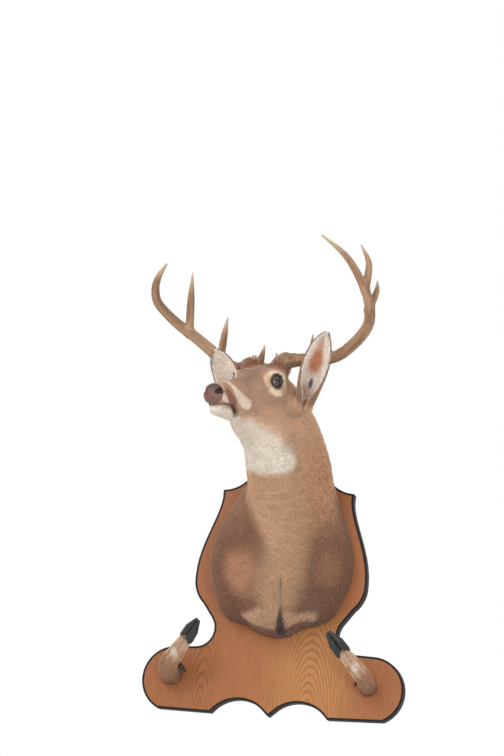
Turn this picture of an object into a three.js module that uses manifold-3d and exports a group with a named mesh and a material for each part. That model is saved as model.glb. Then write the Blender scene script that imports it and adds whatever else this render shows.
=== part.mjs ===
// White-tailed deer shoulder mount on a shaped wooden wall plaque, with the two forefeet set as hooks.
// Millimetres, +Z up. The plaque's flat back is the plane y = 0, the deer comes out towards -Y,
// and x = 0 is the plaque's middle. The head has a frame of its own: forward, left and up from the nose.
import * as THREE from 'three';
import { mergeVertices } from 'three/addons/utils/BufferGeometryUtils.js';
import Module from 'manifold-3d';

const wasm = await Module();
wasm.setup();

// ---- driving dimensions ----
const GAP = 0.3;                         // clearance between pieces that touch
const BOARD_THICK = 25;
const BOARD_TRIM = 5;                    // black edge outside the wood face
const HEAD_YAW = 15.5;                   // degrees, the nose turned to the viewer's left
const HEAD_DIP = 6.5;                    // degrees, the nose lowered
const HEAD_ROLL = -4;                    // degrees, the deer's left side lowered
const NOSE = [-75, -480, 320];           // tip of the nose
const MIDLINE = 3;                       // the chest's middle, beside the plaque's middle
const EYE_CENTRE = [-187, 45, 58];       // in the head's frame, as are the ears, horns and muzzle
const EYE_RADIUS = 17;
const BODY_STEP = 30;                    // facet size on neck and chest
const HEAD_STEP = 14.5;                  // facet size on the head

const COAT = 0xa9805f;
const THROAT = 0xdccab4;
const SHOULDER = 0x8d6a52;
const EAR_FUR = 0xb9a28c;
const ANTLER = 0xa8845c;
const NOSE_LEATHER = 0x5f4438;
const EYE_GLASS = 0x1d1310;
const HOOF = 0x2c2c2f;
const VENEER = 0xb07048;

const group = new THREE.Group();

function place(name, geometry, color, roughness = 0.9) {
  const surface = new THREE.MeshStandardMaterial({ color, roughness, metalness: 0 });
  const mesh = new THREE.Mesh(geometry, surface);
  mesh.name = name;
  group.add(mesh);
}

// ---- the head's frame ----
function headMatrix() {
  const [yaw, dip, roll] = [HEAD_YAW, HEAD_DIP, HEAD_ROLL].map(THREE.MathUtils.degToRad);
  const level = Math.cos(dip);
  const forward = new THREE.Vector3(-Math.sin(yaw) * level, -Math.cos(yaw) * level, -Math.sin(dip));
  const left = new THREE.Vector3(Math.cos(yaw), -Math.sin(yaw), 0).applyAxisAngle(forward, roll);
  const up = new THREE.Vector3().crossVectors(forward, left);
  return new THREE.Matrix4().makeBasis(forward, left, up).setPosition(...NOSE);
}
const HEAD = headMatrix();
const fromHead = (point) => new THREE.Vector3(...point).applyMatrix4(HEAD);

// ---- fields: functions of a point, negative inside ----
const clamp = THREE.MathUtils.clamp;

function cone([ax, ay, az], [bx, by, bz], ra, rb) {
  const [dx, dy, dz] = [bx - ax, by - ay, bz - az];
  const squared = dx * dx + dy * dy + dz * dz;
  return (x, y, z) => {
    const t = clamp(((x - ax) * dx + (y - ay) * dy + (z - az) * dz) / squared, 0, 1);
    const [px, py, pz] = [x - ax - t * dx, y - ay - t * dy, z - az - t * dz];
    return Math.sqrt(px * px + py * py + pz * pz) - ra - (rb - ra) * t;
  };
}

function ellipsoid([cx, cy, cz], [rx, ry, rz]) {
  return (x, y, z) => {
    const [u, v, w] = [(x - cx) / rx, (y - cy) / ry, (z - cz) / rz];
    const size = Math.sqrt(u * u + v * v + w * w);
    const slope = Math.sqrt((u / rx) ** 2 + (v / ry) ** 2 + (w / rz) ** 2);
    return (size * (size - 1)) / Math.max(slope, 1e-9);
  };
}

function softMin(a, b, k) {
  const h = Math.max(k - Math.abs(a - b), 0);
  return Math.min(a, b) - (h * h) / (4 * k);
}
const softMax = (a, b, k) => -softMin(-a, -b, k);
const blend = (k, first, ...rest) => (x, y, z) =>
  rest.reduce((d, field) => softMin(d, field(x, y, z), k), first(x, y, z));
const hollow = (k, field, tool) => (x, y, z) => softMax(field(x, y, z), -tool(x, y, z), k);
const bothSides = (field) => (x, y, z) => field(x, Math.abs(y), z);

// A smooth function through the knots [x, y], level beyond the ends.
function through(knots) {
  const slope = (i) => {
    const before = knots[Math.max(i - 1, 0)];
    const after = knots[Math.min(i + 1, knots.length - 1)];
    return (after[1] - before[1]) / (after[0] - before[0]);
  };
  return (x) => {
    if (x <= knots[0][0]) return knots[0][1];
    if (x >= knots.at(-1)[0]) return knots.at(-1)[1];
    const i = knots.findIndex((knot) => knot[0] > x) - 1;
    const [[x0, y0], [x1, y1]] = [knots[i], knots[i + 1]];
    const run = x1 - x0;
    const t = (x - x0) / run;
    const rise = t * t * (3 - 2 * t);
    return y0 + (y1 - y0) * rise + run * t * (1 - t) * (slope(i) * (1 - t) - slope(i + 1) * t);
  };
}

// A long body along the head's forward axis: each station is [forward, top, bottom, half width].
function loft(stations, back, front, frontRound, squareness = 2.2) {
  const profile = (column) => through(stations.map((row) => [row[0], row[column]]));
  const [top, bottom, half] = [profile(1), profile(2), profile(3)];
  return (f, l, u) => {
    const high = (top(f) - bottom(f)) / 2;
    const wide = half(f);
    const across = Math.abs(l / wide) ** squareness + Math.abs((u - bottom(f) - high) / high) ** squareness;
    const side = (across ** (1 / squareness) - 1) * Math.min(high, wide);
    return softMax(softMax(side, f - front, frontRound), back - f, 40);
  };
}

// ---- head ----
const SKULL = [
  [-290, 68, 6, 38], [-255, 92, -22, 54], [-222, 103, -34, 60], [-190, 94, -38, 53], [-160, 79, -36, 42],
  [-125, 61, -32, 34], [-90, 47, -28, 30], [-50, 35, -25, 29], [-22, 26, -22, 26], [-6, 16, -18, 19],
];
const JAW = [
  [-270, -20, -52, 44], [-225, -20, -64, 46], [-180, -20, -58, 35], [-130, -20, -49, 23],
  [-80, -20, -46, 18], [-40, -20, -45, 18], [-24, -20, -41, 16],
];

function headField() {
  const cheek = bothSides(ellipsoid([-202, 30, -8], [56, 27, 50]));
  const cheekbone = bothSides(cone([-150, 27, 34], [-240, 44, 34], 18, 22));
  const brow = bothSides(cone([-172, 33, 72], [-212, 46, 76], 11, 14));
  const pedicle = bothSides(cone([-228, 34, 80], [-229, 35, 101], 20, 19));
  const earRoot = bothSides(cone([-246, 52, 24], [-251, 78, 14], 25, 20));
  const nosePad = ellipsoid([-15, 0, 0], [12, 22, 20]);
  const socket = bothSides(ellipsoid([-179, 61, 58], [19, 13, 16]));
  const bones = blend(20, loft(SKULL, -300, -4, 14), cheek, cheekbone, brow);
  const whole = blend(12, blend(14, bones, loft(JAW, -290, -22, 10)), pedicle, earRoot, nosePad);
  return hollow(8, whole, socket);
}

// ---- neck and chest ----
// A muscle column along a smooth path, with a radius at each of the path's points.
function column({ path: points, radii }, pieces) {
  const path = new THREE.CatmullRomCurve3(points.map((p) => new THREE.Vector3(...p)), false, 'centripetal');
  const radius = through(radii.map((r, i) => [i / (radii.length - 1), r]));
  const at = Array.from({ length: pieces + 1 }, (_, i) => path.getPoint(i / pieces).toArray());
  const cones = at.slice(1).map((p, i) => cone(at[i], p, radius(i / pieces), radius((i + 1) / pieces)));
  return (x, y, z) => Math.min(...cones.map((field) => field(x, y, z)));
}

const NAPE = {
  path: [[4, -10, 150], [36, -105, 255], [25, -180, 335], [2, -208, 375]],
  radii: [112, 81, 66, 56],
};
const WINDPIPE = {
  path: [[6, -85, 45], [26, -165, 155], [9, -234, 248], [-10, -272, 300]],
  radii: [110, 82, 63, 45],
};

function bodyField() {
  const nape = column(NAPE, 8);
  const throat = column(WINDPIPE, 8);
  const chest = ellipsoid([MIDLINE, -25, 66], [152, 165, 190]);
  const shoulder = ellipsoid([MIDLINE + 90, -30, 36], [76, 104, 112]);
  const brisket = ellipsoid([MIDLINE, -40, -72], [56, 100, 52]);
  const foreleg = ellipsoid([MIDLINE + 90, -38, -44], [50, 66, 50]);
  const pair = (field) => (x, y, z) => field(MIDLINE + Math.abs(x - MIDLINE), y, z);
  const trunk = blend(40, chest, pair(shoulder));
  return blend(45, blend(50, nape, throat), blend(18, trunk, brisket, pair(foreleg)));
}

const BEHIND = 20;                       // the flesh's field runs on behind the plaque's back

function fleshField() {
  const inverse = HEAD.clone().invert().elements;
  const row = (i, x, y, z) => inverse[i] * x + inverse[i + 4] * y + inverse[i + 8] * z + inverse[i + 12];
  const head = headField();
  const body = bodyField();
  return (x, y, z) => {
    const skull = head(row(0, x, y, z), row(1, x, y, z), row(2, x, y, z));
    return Math.max(softMin(skull, body(x, y, z), 45), y - BEHIND);
  };
}

// ---- from a field to a closed mesh ----
// Stops from low to high, fine inside the fine span and coarse outside it.
function stops(low, high, fineLow, fineHigh, fine, coarse) {
  const out = [low];
  while (out.at(-1) < high) {
    const last = out.at(-1);
    out.push(last + (last > fineLow - fine && last < fineHigh ? fine : coarse));
  }
  return out;
}

// One vertex in each cell that the surface crosses, and one quad for each crossed edge.
function surface(field, grid) {
  const [nx, ny, nz] = grid.map((axis) => axis.length);
  const at = (i, j, k) => (i * ny + j) * nz + k;
  const value = new Float64Array(nx * ny * nz);
  for (let i = 0; i < nx; i++)
    for (let j = 0; j < ny; j++)
      for (let k = 0; k < nz; k++) value[at(i, j, k)] = field(grid[0][i], grid[1][j], grid[2][k]);
  const cells = new Map();
  const touch = (i, j, k, point) => {
    const key = at(i, j, k);
    if (!cells.has(key)) cells.set(key, { id: cells.size, sum: new THREE.Vector3(), count: 0 });
    const cell = cells.get(key);
    cell.sum.add(point);
    cell.count += 1;
    return cell.id;
  };
  const faces = [];
  const around = [
    [[0, 0, 0], [0, -1, 0], [0, -1, -1], [0, 0, -1]],
    [[0, 0, 0], [0, 0, -1], [-1, 0, -1], [-1, 0, 0]],
    [[0, 0, 0], [-1, 0, 0], [-1, -1, 0], [0, -1, 0]],
  ];
  const step = [[1, 0, 0], [0, 1, 0], [0, 0, 1]];
  for (let i = 1; i < nx - 1; i++)
    for (let j = 1; j < ny - 1; j++)
      for (let k = 1; k < nz - 1; k++)
        for (let axis = 0; axis < 3; axis++) {
          const [di, dj, dk] = step[axis];
          const here = value[at(i, j, k)];
          const next = value[at(i + di, j + dj, k + dk)];
          if (here < 0 === next < 0) continue;
          const t = here / (here - next);
          const point = new THREE.Vector3(grid[0][i], grid[1][j], grid[2][k]);
          const far = new THREE.Vector3(grid[0][i + di], grid[1][j + dj], grid[2][k + dk]);
          point.lerp(far, t);
          const quad = around[axis].map(([a, b, c]) => touch(i + a, j + b, k + c, point));
          faces.push(here < 0 ? quad : quad.reverse());
        }
  const vertices = [...cells.values()].map((cell) => cell.sum.divideScalar(cell.count));
  return { vertices: vertices.map((v) => settle(field, v)), faces };
}

function slopeOf(field, v, h = 0.5) {
  return new THREE.Vector3(
    field(v.x + h, v.y, v.z) - field(v.x - h, v.y, v.z),
    field(v.x, v.y + h, v.z) - field(v.x, v.y - h, v.z),
    field(v.x, v.y, v.z + h) - field(v.x, v.y, v.z - h),
  ).divideScalar(2 * h);
}

// Moves a vertex onto the surface.
function settle(field, start) {
  const v = start.clone();
  for (let round = 0; round < 2; round++) {
    const slope = slopeOf(field, v);
    const move = clamp(field(v.x, v.y, v.z), -3, 3) / Math.max(slope.lengthSq(), 0.2);
    v.addScaledVector(slope, -move);
  }
  return v;
}

function grown(field, mesh, by) {
  const vertices = mesh.vertices.map((v) => v.clone().addScaledVector(slopeOf(field, v).normalize(), by));
  return { vertices, faces: mesh.faces };
}

function solidOf({ vertices, faces }) {
  const vertProperties = new Float32Array(vertices.flatMap((v) => v.toArray()));
  const triVerts = new Uint32Array(faces.flatMap(([a, b, c, d]) => {
    const short = vertices[a].distanceTo(vertices[c]) <= vertices[b].distanceTo(vertices[d]);
    return short ? [a, b, c, a, c, d] : [a, b, d, b, c, d];
  }));
  return new wasm.Manifold(new wasm.Mesh({ numProp: 3, vertProperties, triVerts }));
}

// ---- booleans ----
function solid(geometry) {
  const bare = geometry.clone();
  bare.deleteAttribute('normal');
  bare.deleteAttribute('uv');
  const merged = mergeVertices(bare, 1e-3);
  const vertProperties = new Float32Array(merged.attributes.position.array);
  const triVerts = new Uint32Array(merged.index.array);
  return new wasm.Manifold(new wasm.Mesh({ numProp: 3, vertProperties, triVerts }));
}

// The biggest body that a cut leaves, as a geometry.
function geometryOf(manifold) {
  const bodies = manifold.decompose().sort((a, b) => b.volume() - a.volume());
  const { vertProperties, triVerts } = bodies[0].getMesh();
  const geometry = new THREE.BufferGeometry();
  geometry.setAttribute('position', new THREE.BufferAttribute(vertProperties, 3));
  geometry.setIndex(new THREE.BufferAttribute(triVerts, 1));
  return geometry.toNonIndexed();
}

// A block that fills the side of a plane that its normal points to, half a gap off the plane.
function halfSpace(point, normal) {
  const SIZE = 1600;
  const block = new THREE.BoxGeometry(SIZE, SIZE, SIZE).translate(0, 0, SIZE / 2 + GAP / 2);
  const upright = new THREE.Vector3(0, 0, 1);
  const turn = new THREE.Quaternion().setFromUnitVectors(upright, normal.clone().normalize());
  block.applyQuaternion(turn).translate(point.x, point.y, point.z);
  return solid(block);
}

function split(whole, point, normal) {
  const ahead = whole.intersect(halfSpace(point, normal));
  const behind = whole.intersect(halfSpace(point, normal.clone().negate()));
  return [ahead, behind];
}

// Everything in front of the plaque.
function beforeBoard() {
  return halfSpace(new THREE.Vector3(0, -BOARD_THICK - GAP / 2, 0), new THREE.Vector3(0, -1, 0));
}

const headPlane = (point, [f, l, u]) =>
  [fromHead(point), new THREE.Vector3(f, l, u).transformDirection(HEAD)];

// ---- plaque ----
// The right half's outline from the top middle to the bottom point; the left half mirrors it.
function plaqueHalf() {
  const half = new THREE.Path();
  half.absarc(0, 184, 116, Math.PI / 2, 0.785, true);              // top dome
  half.absarc(159, 296, 83, Math.PI + 0.45, Math.PI * 1.5 - 0.08, false);   // hollow beside it
  half.bezierCurveTo(147, 160, 199, 90, 199, 12);
  half.absarc(128, 2, 71, 0, -0.85, true);
  half.absarc(189, -113, 48, 2.55, 4.712, false);                  // waist cove
  half.lineTo(231.5, -163);
  half.absarc(231.5, -234, 71, Math.PI / 2, -1.12, true);          // lobe
  half.lineTo(136, -300.5);
  half.absarc(70, -355, 88, 0.67, 2.21, false);                    // arch beside the bottom point
  half.lineTo(0, -300);
  return half.getPoints(6);
}

// Moves an outline outwards by a distance, each point along the mean of its two edges' normals.
function outset(points, by) {
  return points.map((point, i) => {
    const before = points[(i + points.length - 1) % points.length];
    const after = points[(i + 1) % points.length];
    const a = point.clone().sub(before).normalize();
    const b = after.clone().sub(point).normalize();
    const mean = a.clone().add(b).normalize();
    const stretch = Math.min(by / Math.max(mean.dot(a), 0.5), by * 1.6);
    return point.clone().add(new THREE.Vector2(-mean.y, mean.x).multiplyScalar(stretch));
  });
}

function plaque() {
  const right = plaqueHalf().filter((p, i, all) => i === 0 || p.distanceTo(all[i - 1]) > 4);
  const left = right.slice(1, -1).reverse().map((p) => new THREE.Vector2(-p.x, p.y));
  const outline = outset([...right, ...left], BOARD_TRIM);
  const shape = new THREE.Shape(outline);
  const board = new THREE.ExtrudeGeometry(shape, { depth: BOARD_THICK, bevelEnabled: false });
  place('plaque', board.rotateX(Math.PI / 2), VENEER, 0.45);
}

// ---- flesh, parted where a person would name its parts ----
function fleshParts() {
  const field = fleshField();
  const grid = [
    stops(-240, 240, -150, 80, HEAD_STEP, BODY_STEP),
    stops(-530, 2 * BODY_STEP, -500, -240, HEAD_STEP, BODY_STEP),
    stops(-200, 480, 285, 450, HEAD_STEP, BODY_STEP),
  ];
  const mesh = surface(field, grid);
  return { whole: solidOf(mesh).intersect(beforeBoard()), clear: solidOf(grown(field, mesh, GAP)) };
}

function placeFlesh(whole) {
  const [front, rest] = split(whole, ...headPlane([-262, 0, 0], [0.884, 0, 0.469]));
  const [snout, head] = split(front, ...headPlane([-122, 0, 0], [1, 0, 0]));
  const [upperSnout, jaw] = split(snout, ...headPlane([0, 0, -25], [0, 0, 1]));
  const [nose, muzzle] = split(upperSnout, ...headPlane([-17, 0, 0], [1, 0, 0.25]));
  const [neck, trunk] = split(rest, new THREE.Vector3(0, -145, 170), new THREE.Vector3(0.1, -0.66, 0.75));
  const across = new THREE.Vector3(1, 0, 0);
  const [leftShoulder, others] = split(trunk, new THREE.Vector3(MIDLINE + 48, 0, 0), across);
  const [brisket, rightShoulder] = split(others, new THREE.Vector3(MIDLINE - 48, 0, 0), across);
  place('head', geometryOf(head), COAT);
  place('muzzle', geometryOf(muzzle), COAT);
  place('lower_jaw', geometryOf(jaw), THROAT);
  place('nose_pad', geometryOf(nose), NOSE_LEATHER, 0.5);
  place('neck', geometryOf(neck), COAT);
  place('brisket', geometryOf(brisket), COAT);
  place('shoulder_left', geometryOf(leftShoulder), SHOULDER);
  place('shoulder_right', geometryOf(rightShoulder), SHOULDER);
}

// ---- eyes ----
const SIDES = { left: 1, right: -1 };        // the deer's own left and right

function eyeball(side, extra) {
  const [f, l, u] = EYE_CENTRE;
  return new THREE.SphereGeometry(EYE_RADIUS + extra, 12, 8).translate(...fromHead([f, side * l, u]));
}

// ---- ears ----
const EAR = {
  root: { left: [-250, 91, 14], right: [-250, -78, 8] },
  tip: { left: [-202, 159, 171], right: [-195, -121, 131] },
  facing: { left: [1, 0.6, 0], right: [1, 0.15, 0] },
  bow: 2,                                  // how far the middle curves towards the face
  wall: 7,
  rings: 12,
  halfWidth: through([[0, 20], [0.2, 26], [0.5, 31.5], [0.75, 28], [0.91, 19], [1, 8]]),
  depth: through([[0, 21], [0.25, 25], [0.5, 24], [0.8, 15], [1, 8]]),
  wrap: through([[0, 165], [0.15, 150], [0.35, 115], [0.6, 95], [1, 88]]),        // degrees either way
  hollow: through([[0, 0.3], [0.15, 0.72], [0.4, 0.83], [0.8, 0.72], [1, 0.3]]),  // inner arc over outer
};

// The ear is a leaf-shaped cup, open to its front and narrowing to the root and the tip.
function earFrame(name) {
  const vector = (pair) => new THREE.Vector3(...pair[name]);
  const [root, tip, open] = [EAR.root, EAR.tip, EAR.facing].map(vector);
  const along = tip.clone().sub(root);
  const length = along.length();
  along.normalize();
  open.addScaledVector(along, -open.dot(along)).normalize();
  const across = new THREE.Vector3().crossVectors(open, along);
  return { matrix: new THREE.Matrix4().makeBasis(along, across, open).setPosition(root), length };
}

// One section of the ear: an arc round its back, and a smaller arc back along its hollow.
function earSection(t) {
  const half = EAR.halfWidth(t);
  const deep = EAR.depth(t);
  const spread = THREE.MathUtils.degToRad(EAR.wrap(t));
  const hollowed = EAR.hollow(t);
  const outer = Array.from({ length: 9 }, (_, i) => ((i / 4) - 1) * spread);
  const inner = Array.from({ length: 7 }, (_, i) => (1 - i / 3) * spread * 0.93);
  const point = (angle, scale) => [
    half * Math.sin(angle) * (scale ? hollowed : 1),
    -(deep - (scale ? EAR.wall : 0)) * Math.cos(angle) * (scale ? hollowed : 1),
  ];
  return [...outer.map((angle) => point(angle, 0)), ...inner.map((angle) => point(angle, 1))];
}

function ears(clearHead) {
  for (const [name, side] of Object.entries(SIDES)) {
    const { matrix, length } = earFrame(name);
    const toWorld = (s, a, v) => {
      const bow = side * EAR.bow * Math.sin((Math.PI * s) / length);
      return new THREE.Vector3(s, a + bow, v).applyMatrix4(matrix).applyMatrix4(HEAD);
    };
    const tangent = new THREE.Vector3(1, 0, 0).transformDirection(matrix).transformDirection(HEAD);
    const list = Array.from({ length: EAR.rings + 1 }, (_, i) => {
      const t = i / EAR.rings;
      const corners = earSection(t).map(([a, v]) => toWorld(t * length, a, v));
      return { centre: toWorld(t * length, 0, -0.75 * EAR.depth(t)), tangent, corners };
    });
    place(`ear_${name}`, geometryOf(solid(tube(list)).subtract(clearHead)), EAR_FUR);
  }
}

// ---- antlers and other tapered tubes ----
// Rings of a tube along a smooth path; each end is shut by a fan.
function rings(points, radii, sides, steps) {
  const path = new THREE.CatmullRomCurve3(points, false, 'centripetal');
  const frames = path.computeFrenetFrames(steps, false);
  const radius = through(radii.map((r, i) => [i / (radii.length - 1), r]));
  return frames.tangents.map((tangent, i) => {
    const centre = path.getPointAt(i / steps);
    const size = radius(path.getUtoTmapping(i / steps));
    const corners = Array.from({ length: sides }, (_, k) => {
      const angle = (k / sides) * Math.PI * 2;
      const out = frames.normals[i].clone().multiplyScalar(Math.cos(angle));
      return out.addScaledVector(frames.binormals[i], Math.sin(angle)).multiplyScalar(size).add(centre);
    });
    return { centre, tangent, corners };
  });
}

function tube(ringList, trimStart = 0, trimEnd = 0) {
  const shifted = ({ centre, tangent, corners }, by) => ({
    centre: centre.clone().addScaledVector(tangent, by),
    corners: corners.map((corner) => corner.clone().addScaledVector(tangent, by)),
  });
  const start = shifted(ringList[0], trimStart);
  const end = shifted(ringList.at(-1), -trimEnd);
  const list = [start, ...ringList.slice(1, -1), end];
  const sides = list[0].corners.length;
  const vertices = [...list.flatMap((ring) => ring.corners), list[0].centre, list.at(-1).centre];
  const [first, last] = [vertices.length - 2, vertices.length - 1];
  const top = sides * (list.length - 1);
  const index = [];
  for (let k = 0; k < sides; k++) {
    const next = (k + 1) % sides;
    index.push(first, next, k);
    index.push(last, top + k, top + next);
    for (let r = 0; r < list.length - 1; r++) {
      const [a, b] = [r * sides + k, r * sides + next];
      index.push(a, b, b + sides, a, b + sides, a + sides);
    }
  }
  const geometry = new THREE.BufferGeometry().setFromPoints(vertices);
  geometry.setIndex(index);
  return geometry;
}

function tubeAlong(points, radii, sides, steps) {
  return tube(rings(points, radii, sides, steps));
}

const ANTLERS = {
  left: {
    beam: [[-229, 35, 88], [-231, 38, 110], [-250, 80, 120], [-278, 134, 130], [-275, 167, 143],
      [-235, 239, 186], [-208, 260, 212], [-186, 265, 239], [-165, 259, 270], [-125, 232, 326],
      [-78, 194, 362]],
    thickness: [16, 16, 14.5, 13.5, 13, 12.5, 12, 11, 9.5, 7, 2],
    brow: [[[-224, 33, 104], [-214, 28, 128]], [8, 2]],
    second: [[[-262, 98, 122], [-252, 97, 142], [-235, 106, 176]], [7, 6, 1.5]],
    third: [[[-200, 258, 222], [-202, 268, 245], [-209, 271, 268], [-215, 267, 290]], [9, 8, 6, 1.5]],
    fourth: [[[-168, 256, 262], [-172, 265, 288], [-182, 259, 325], [-195, 228, 369]], [9, 8.5, 6.5, 1.5]],
  },
  right: {
    beam: [[-229, -35, 88], [-236, -48, 100], [-252, -91, 99], [-262, -135, 116], [-266, -185, 150],
      [-262, -224, 177], [-248, -263, 203], [-225, -289, 229], [-200, -298, 249], [-172, -288, 272],
      [-138, -260, 292], [-100, -215, 313]],
    thickness: [16, 16, 14.5, 14, 13.5, 13, 12, 11, 10.5, 9.5, 7.5, 2],
    brow: [[[-226, -20, 96], [-218, -11, 120], [-210, -1, 146]], [9, 7, 1.5]],
    second: [[[-262, -147, 134], [-250, -136, 178], [-238, -124, 218]], [9, 7.5, 1.5]],
    third: [[[-258, -238, 184], [-238, -230, 260], [-215, -218, 319]], [10, 8.5, 1.5]],
  },
};
const BURR = { radius: 21, foot: 16, length: 13 };
const BEAM_STEPS = 26;

function antler(name, shape, clearHead) {
  const world = (points) => points.map(fromHead);
  const beamRings = rings(world(shape.beam), shape.thickness, 7, BEAM_STEPS);
  const fat = solid(tubeAlong(world(shape.beam), shape.thickness.map((r) => r + GAP), 7, BEAM_STEPS));
  const tines = Object.entries(shape).filter(([key]) => !['beam', 'thickness'].includes(key));
  const roots = tines.map(([, [points]]) => {
    const root = fromHead(points[0]);
    const away = beamRings.map((ring) => ring.centre.distanceTo(root));
    return away.indexOf(Math.min(...away));
  });
  for (const [key, [points, radii]] of tines) {
    const tine = solid(tubeAlong(world(points), radii, 6, 2 * (points.length - 1)));
    const free = tine.subtract(fat).subtract(clearHead);
    place(`antler_${name}_${key}_tine`, geometryOf(free), ANTLER, 0.55);
  }
  const cuts = [0, ...roots.slice(1).map((i) => i + 1), BEAM_STEPS];
  const labels = ['base', 'middle', 'upper', 'end'];
  cuts.slice(1).forEach((end, i) => {
    const start = cuts[i];
    const last = end === BEAM_STEPS;
    const piece = tube(beamRings.slice(start, end + 1), start ? GAP / 2 : 0, last ? 0 : GAP / 2);
    const bare = i ? solid(piece) : solid(piece).add(burr(beamRings)).subtract(clearHead);
    place(`antler_${name}_beam_${labels[i]}`, geometryOf(bare), ANTLER, 0.55);
  });
}

// The rough ring at the antler's foot.
function burr(beamRings) {
  const [low, high] = [beamRings[1].centre, beamRings[2].centre];
  const middle = low.clone().lerp(high, 0.35);
  const along = high.clone().sub(low).normalize().multiplyScalar(BURR.length / 2);
  const points = [middle.clone().sub(along), middle, middle.clone().add(along)];
  return solid(tubeAlong(points, [BURR.foot, BURR.radius, BURR.foot], 9, 4));
}

// ---- forefeet set as hooks ----
// Each foot comes out of the plaque, bends up at the fetlock and ends in two toes. These sizes are
// for the foot on the viewer's right.
const FOOT = {
  leg: {
    left: [[226, -10, -222], [229, -48, -221], [226, -75, -209], [207, -92, -186], [185, -114, -162]],
    right: [[234, -10, -230], [236, -50, -228], [231, -76, -213], [208, -92, -187], [185, -114, -162]],
  },
  legRadii: { left: [17, 18, 19, 18, 14.5], right: [24, 23.5, 22, 19, 14.5] },
  hoofTip: [153, -143, -124],
  toe: { radius: 9.8, apart: 7.8, tipRadius: 4.5, closing: 0.4, bulge: 0.25 },
  dewclaw: {
    root: { left: [215, -63, -206], right: [212, -66, -210] },
    end: { left: [207, -49, -216], right: [202, -56, -221] },
    radii: [5.6, 3],
    apart: 1,
  },
  lift: { left: -7, right: 7 },            // the two hooks hang this much off their mean height
};

function foot(name, side) {
  const at = ([x, y, z]) => new THREE.Vector3(side * x, y, z + FOOT.lift[name]);
  const leg = FOOT.leg[name].map(at);
  const legRadii = FOOT.legRadii[name];
  const legSolid = solid(tubeAlong(leg, legRadii, 10, 9)).intersect(beforeBoard());
  const fat = solid(tubeAlong(leg, legRadii.map((r) => r + GAP), 10, 9));
  const ankle = leg.at(-1);
  const tip = at(FOOT.hoofTip);
  const along = tip.clone().sub(ankle).normalize();
  const spread = new THREE.Vector3(0, 1, 0).cross(along).normalize().multiplyScalar(FOOT.toe.apart);
  const heel = ankle.clone().addScaledVector(along, 8);
  for (const [toe, sign] of [['outer', 1], ['inner', -1]]) {
    const back = heel.clone().addScaledVector(spread, sign);
    const point = tip.clone().addScaledVector(spread, sign * FOOT.toe.closing);
    const middle = back.clone().lerp(point, 0.45).addScaledVector(spread, sign * FOOT.toe.bulge);
    const toePath = [back, middle, point];
    const radii = [FOOT.toe.radius, FOOT.toe.radius, FOOT.toe.tipRadius];
    const ownSide = halfSpace(ankle, spread.clone().multiplyScalar(sign));
    const half = solid(tubeAlong(toePath, radii, 8, 6)).intersect(ownSide);
    place(`hoof_${name}_${toe}`, geometryOf(half.subtract(fat)), HOOF, 0.35);
    const { root, end, radii: clawRadii } = FOOT.dewclaw;
    const toSide = (p) => at(p).addScaledVector(spread, sign * FOOT.dewclaw.apart);
    const clawPath = [toSide(root[name]), toSide(end[name])];
    const claw = solid(tubeAlong(clawPath, clawRadii, 6, 2)).subtract(fat);
    place(`dewclaw_${name}_${toe}`, geometryOf(claw), HOOF, 0.4);
  }
  place(`leg_${name}`, geometryOf(legSolid), COAT);
}

plaque();
const flesh = fleshParts();
const eyes = Object.entries(SIDES).map(([name, side]) => {
  place(`eye_${name}`, eyeball(side, 0), EYE_GLASS, 0.05);
  return solid(eyeball(side, GAP));
});
placeFlesh(flesh.whole.subtract(eyes[0]).subtract(eyes[1]));
ears(flesh.clear);
for (const [name, shape] of Object.entries(ANTLERS)) antler(name, shape, flesh.clear);
for (const [name, side] of Object.entries(SIDES)) foot(name, side);
export default group;
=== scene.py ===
"""A white-tailed deer's head and shoulders on a wooden wall plaque, with two forefeet set as hooks.

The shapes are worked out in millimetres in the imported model's frame: x to the viewer's right, y into
the wall, z up. The head has a frame of its own from the tip of the nose: forward, left, up.
Flesh, antlers, legs and hoofs are fields, functions of a point that are negative inside.
"""
import math

import bpy
import numpy as np
from mathutils import Matrix, Vector, noise


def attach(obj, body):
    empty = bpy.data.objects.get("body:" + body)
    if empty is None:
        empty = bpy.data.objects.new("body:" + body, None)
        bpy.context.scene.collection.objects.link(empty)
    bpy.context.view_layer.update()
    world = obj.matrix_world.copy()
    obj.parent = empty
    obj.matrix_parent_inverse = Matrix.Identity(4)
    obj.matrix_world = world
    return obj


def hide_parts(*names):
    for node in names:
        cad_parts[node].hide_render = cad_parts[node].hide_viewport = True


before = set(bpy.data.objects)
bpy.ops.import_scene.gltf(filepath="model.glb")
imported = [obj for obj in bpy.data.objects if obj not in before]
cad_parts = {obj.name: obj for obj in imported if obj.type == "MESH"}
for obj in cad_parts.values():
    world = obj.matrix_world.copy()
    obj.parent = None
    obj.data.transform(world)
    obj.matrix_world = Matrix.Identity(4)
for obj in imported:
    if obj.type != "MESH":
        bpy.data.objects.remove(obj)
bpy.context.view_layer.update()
MM = 0.001
rng = np.random.default_rng(11)

# ---- the CAD model's sizes ----
HEAD_YAW, HEAD_DIP, HEAD_ROLL = 15.5, 6.5, -4.0
NOSE = np.array([-75.0, -480.0, 320.0])
MIDLINE = 3
BOARD_THICK = 25
BOARD_TRIM = 5
EYE_CENTRE = np.array([-187.0, 45.0, 58.0])
EYE_RADIUS = 17
SKULL = [                              # stations: [forward, top, bottom, half width]
    [-290, 68, 6, 38], [-255, 92, -22, 54], [-222, 103, -34, 60], [-190, 94, -38, 53],
    [-160, 79, -36, 42], [-125, 61, -32, 34], [-90, 47, -28, 30], [-50, 35, -25, 29],
    [-22, 26, -22, 26], [-6, 16, -18, 19],
]
JAW = [
    [-270, -20, -52, 44], [-225, -20, -64, 46], [-180, -20, -58, 35], [-130, -20, -49, 23],
    [-80, -20, -46, 18], [-40, -20, -45, 18], [-24, -20, -41, 16],
]
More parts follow.
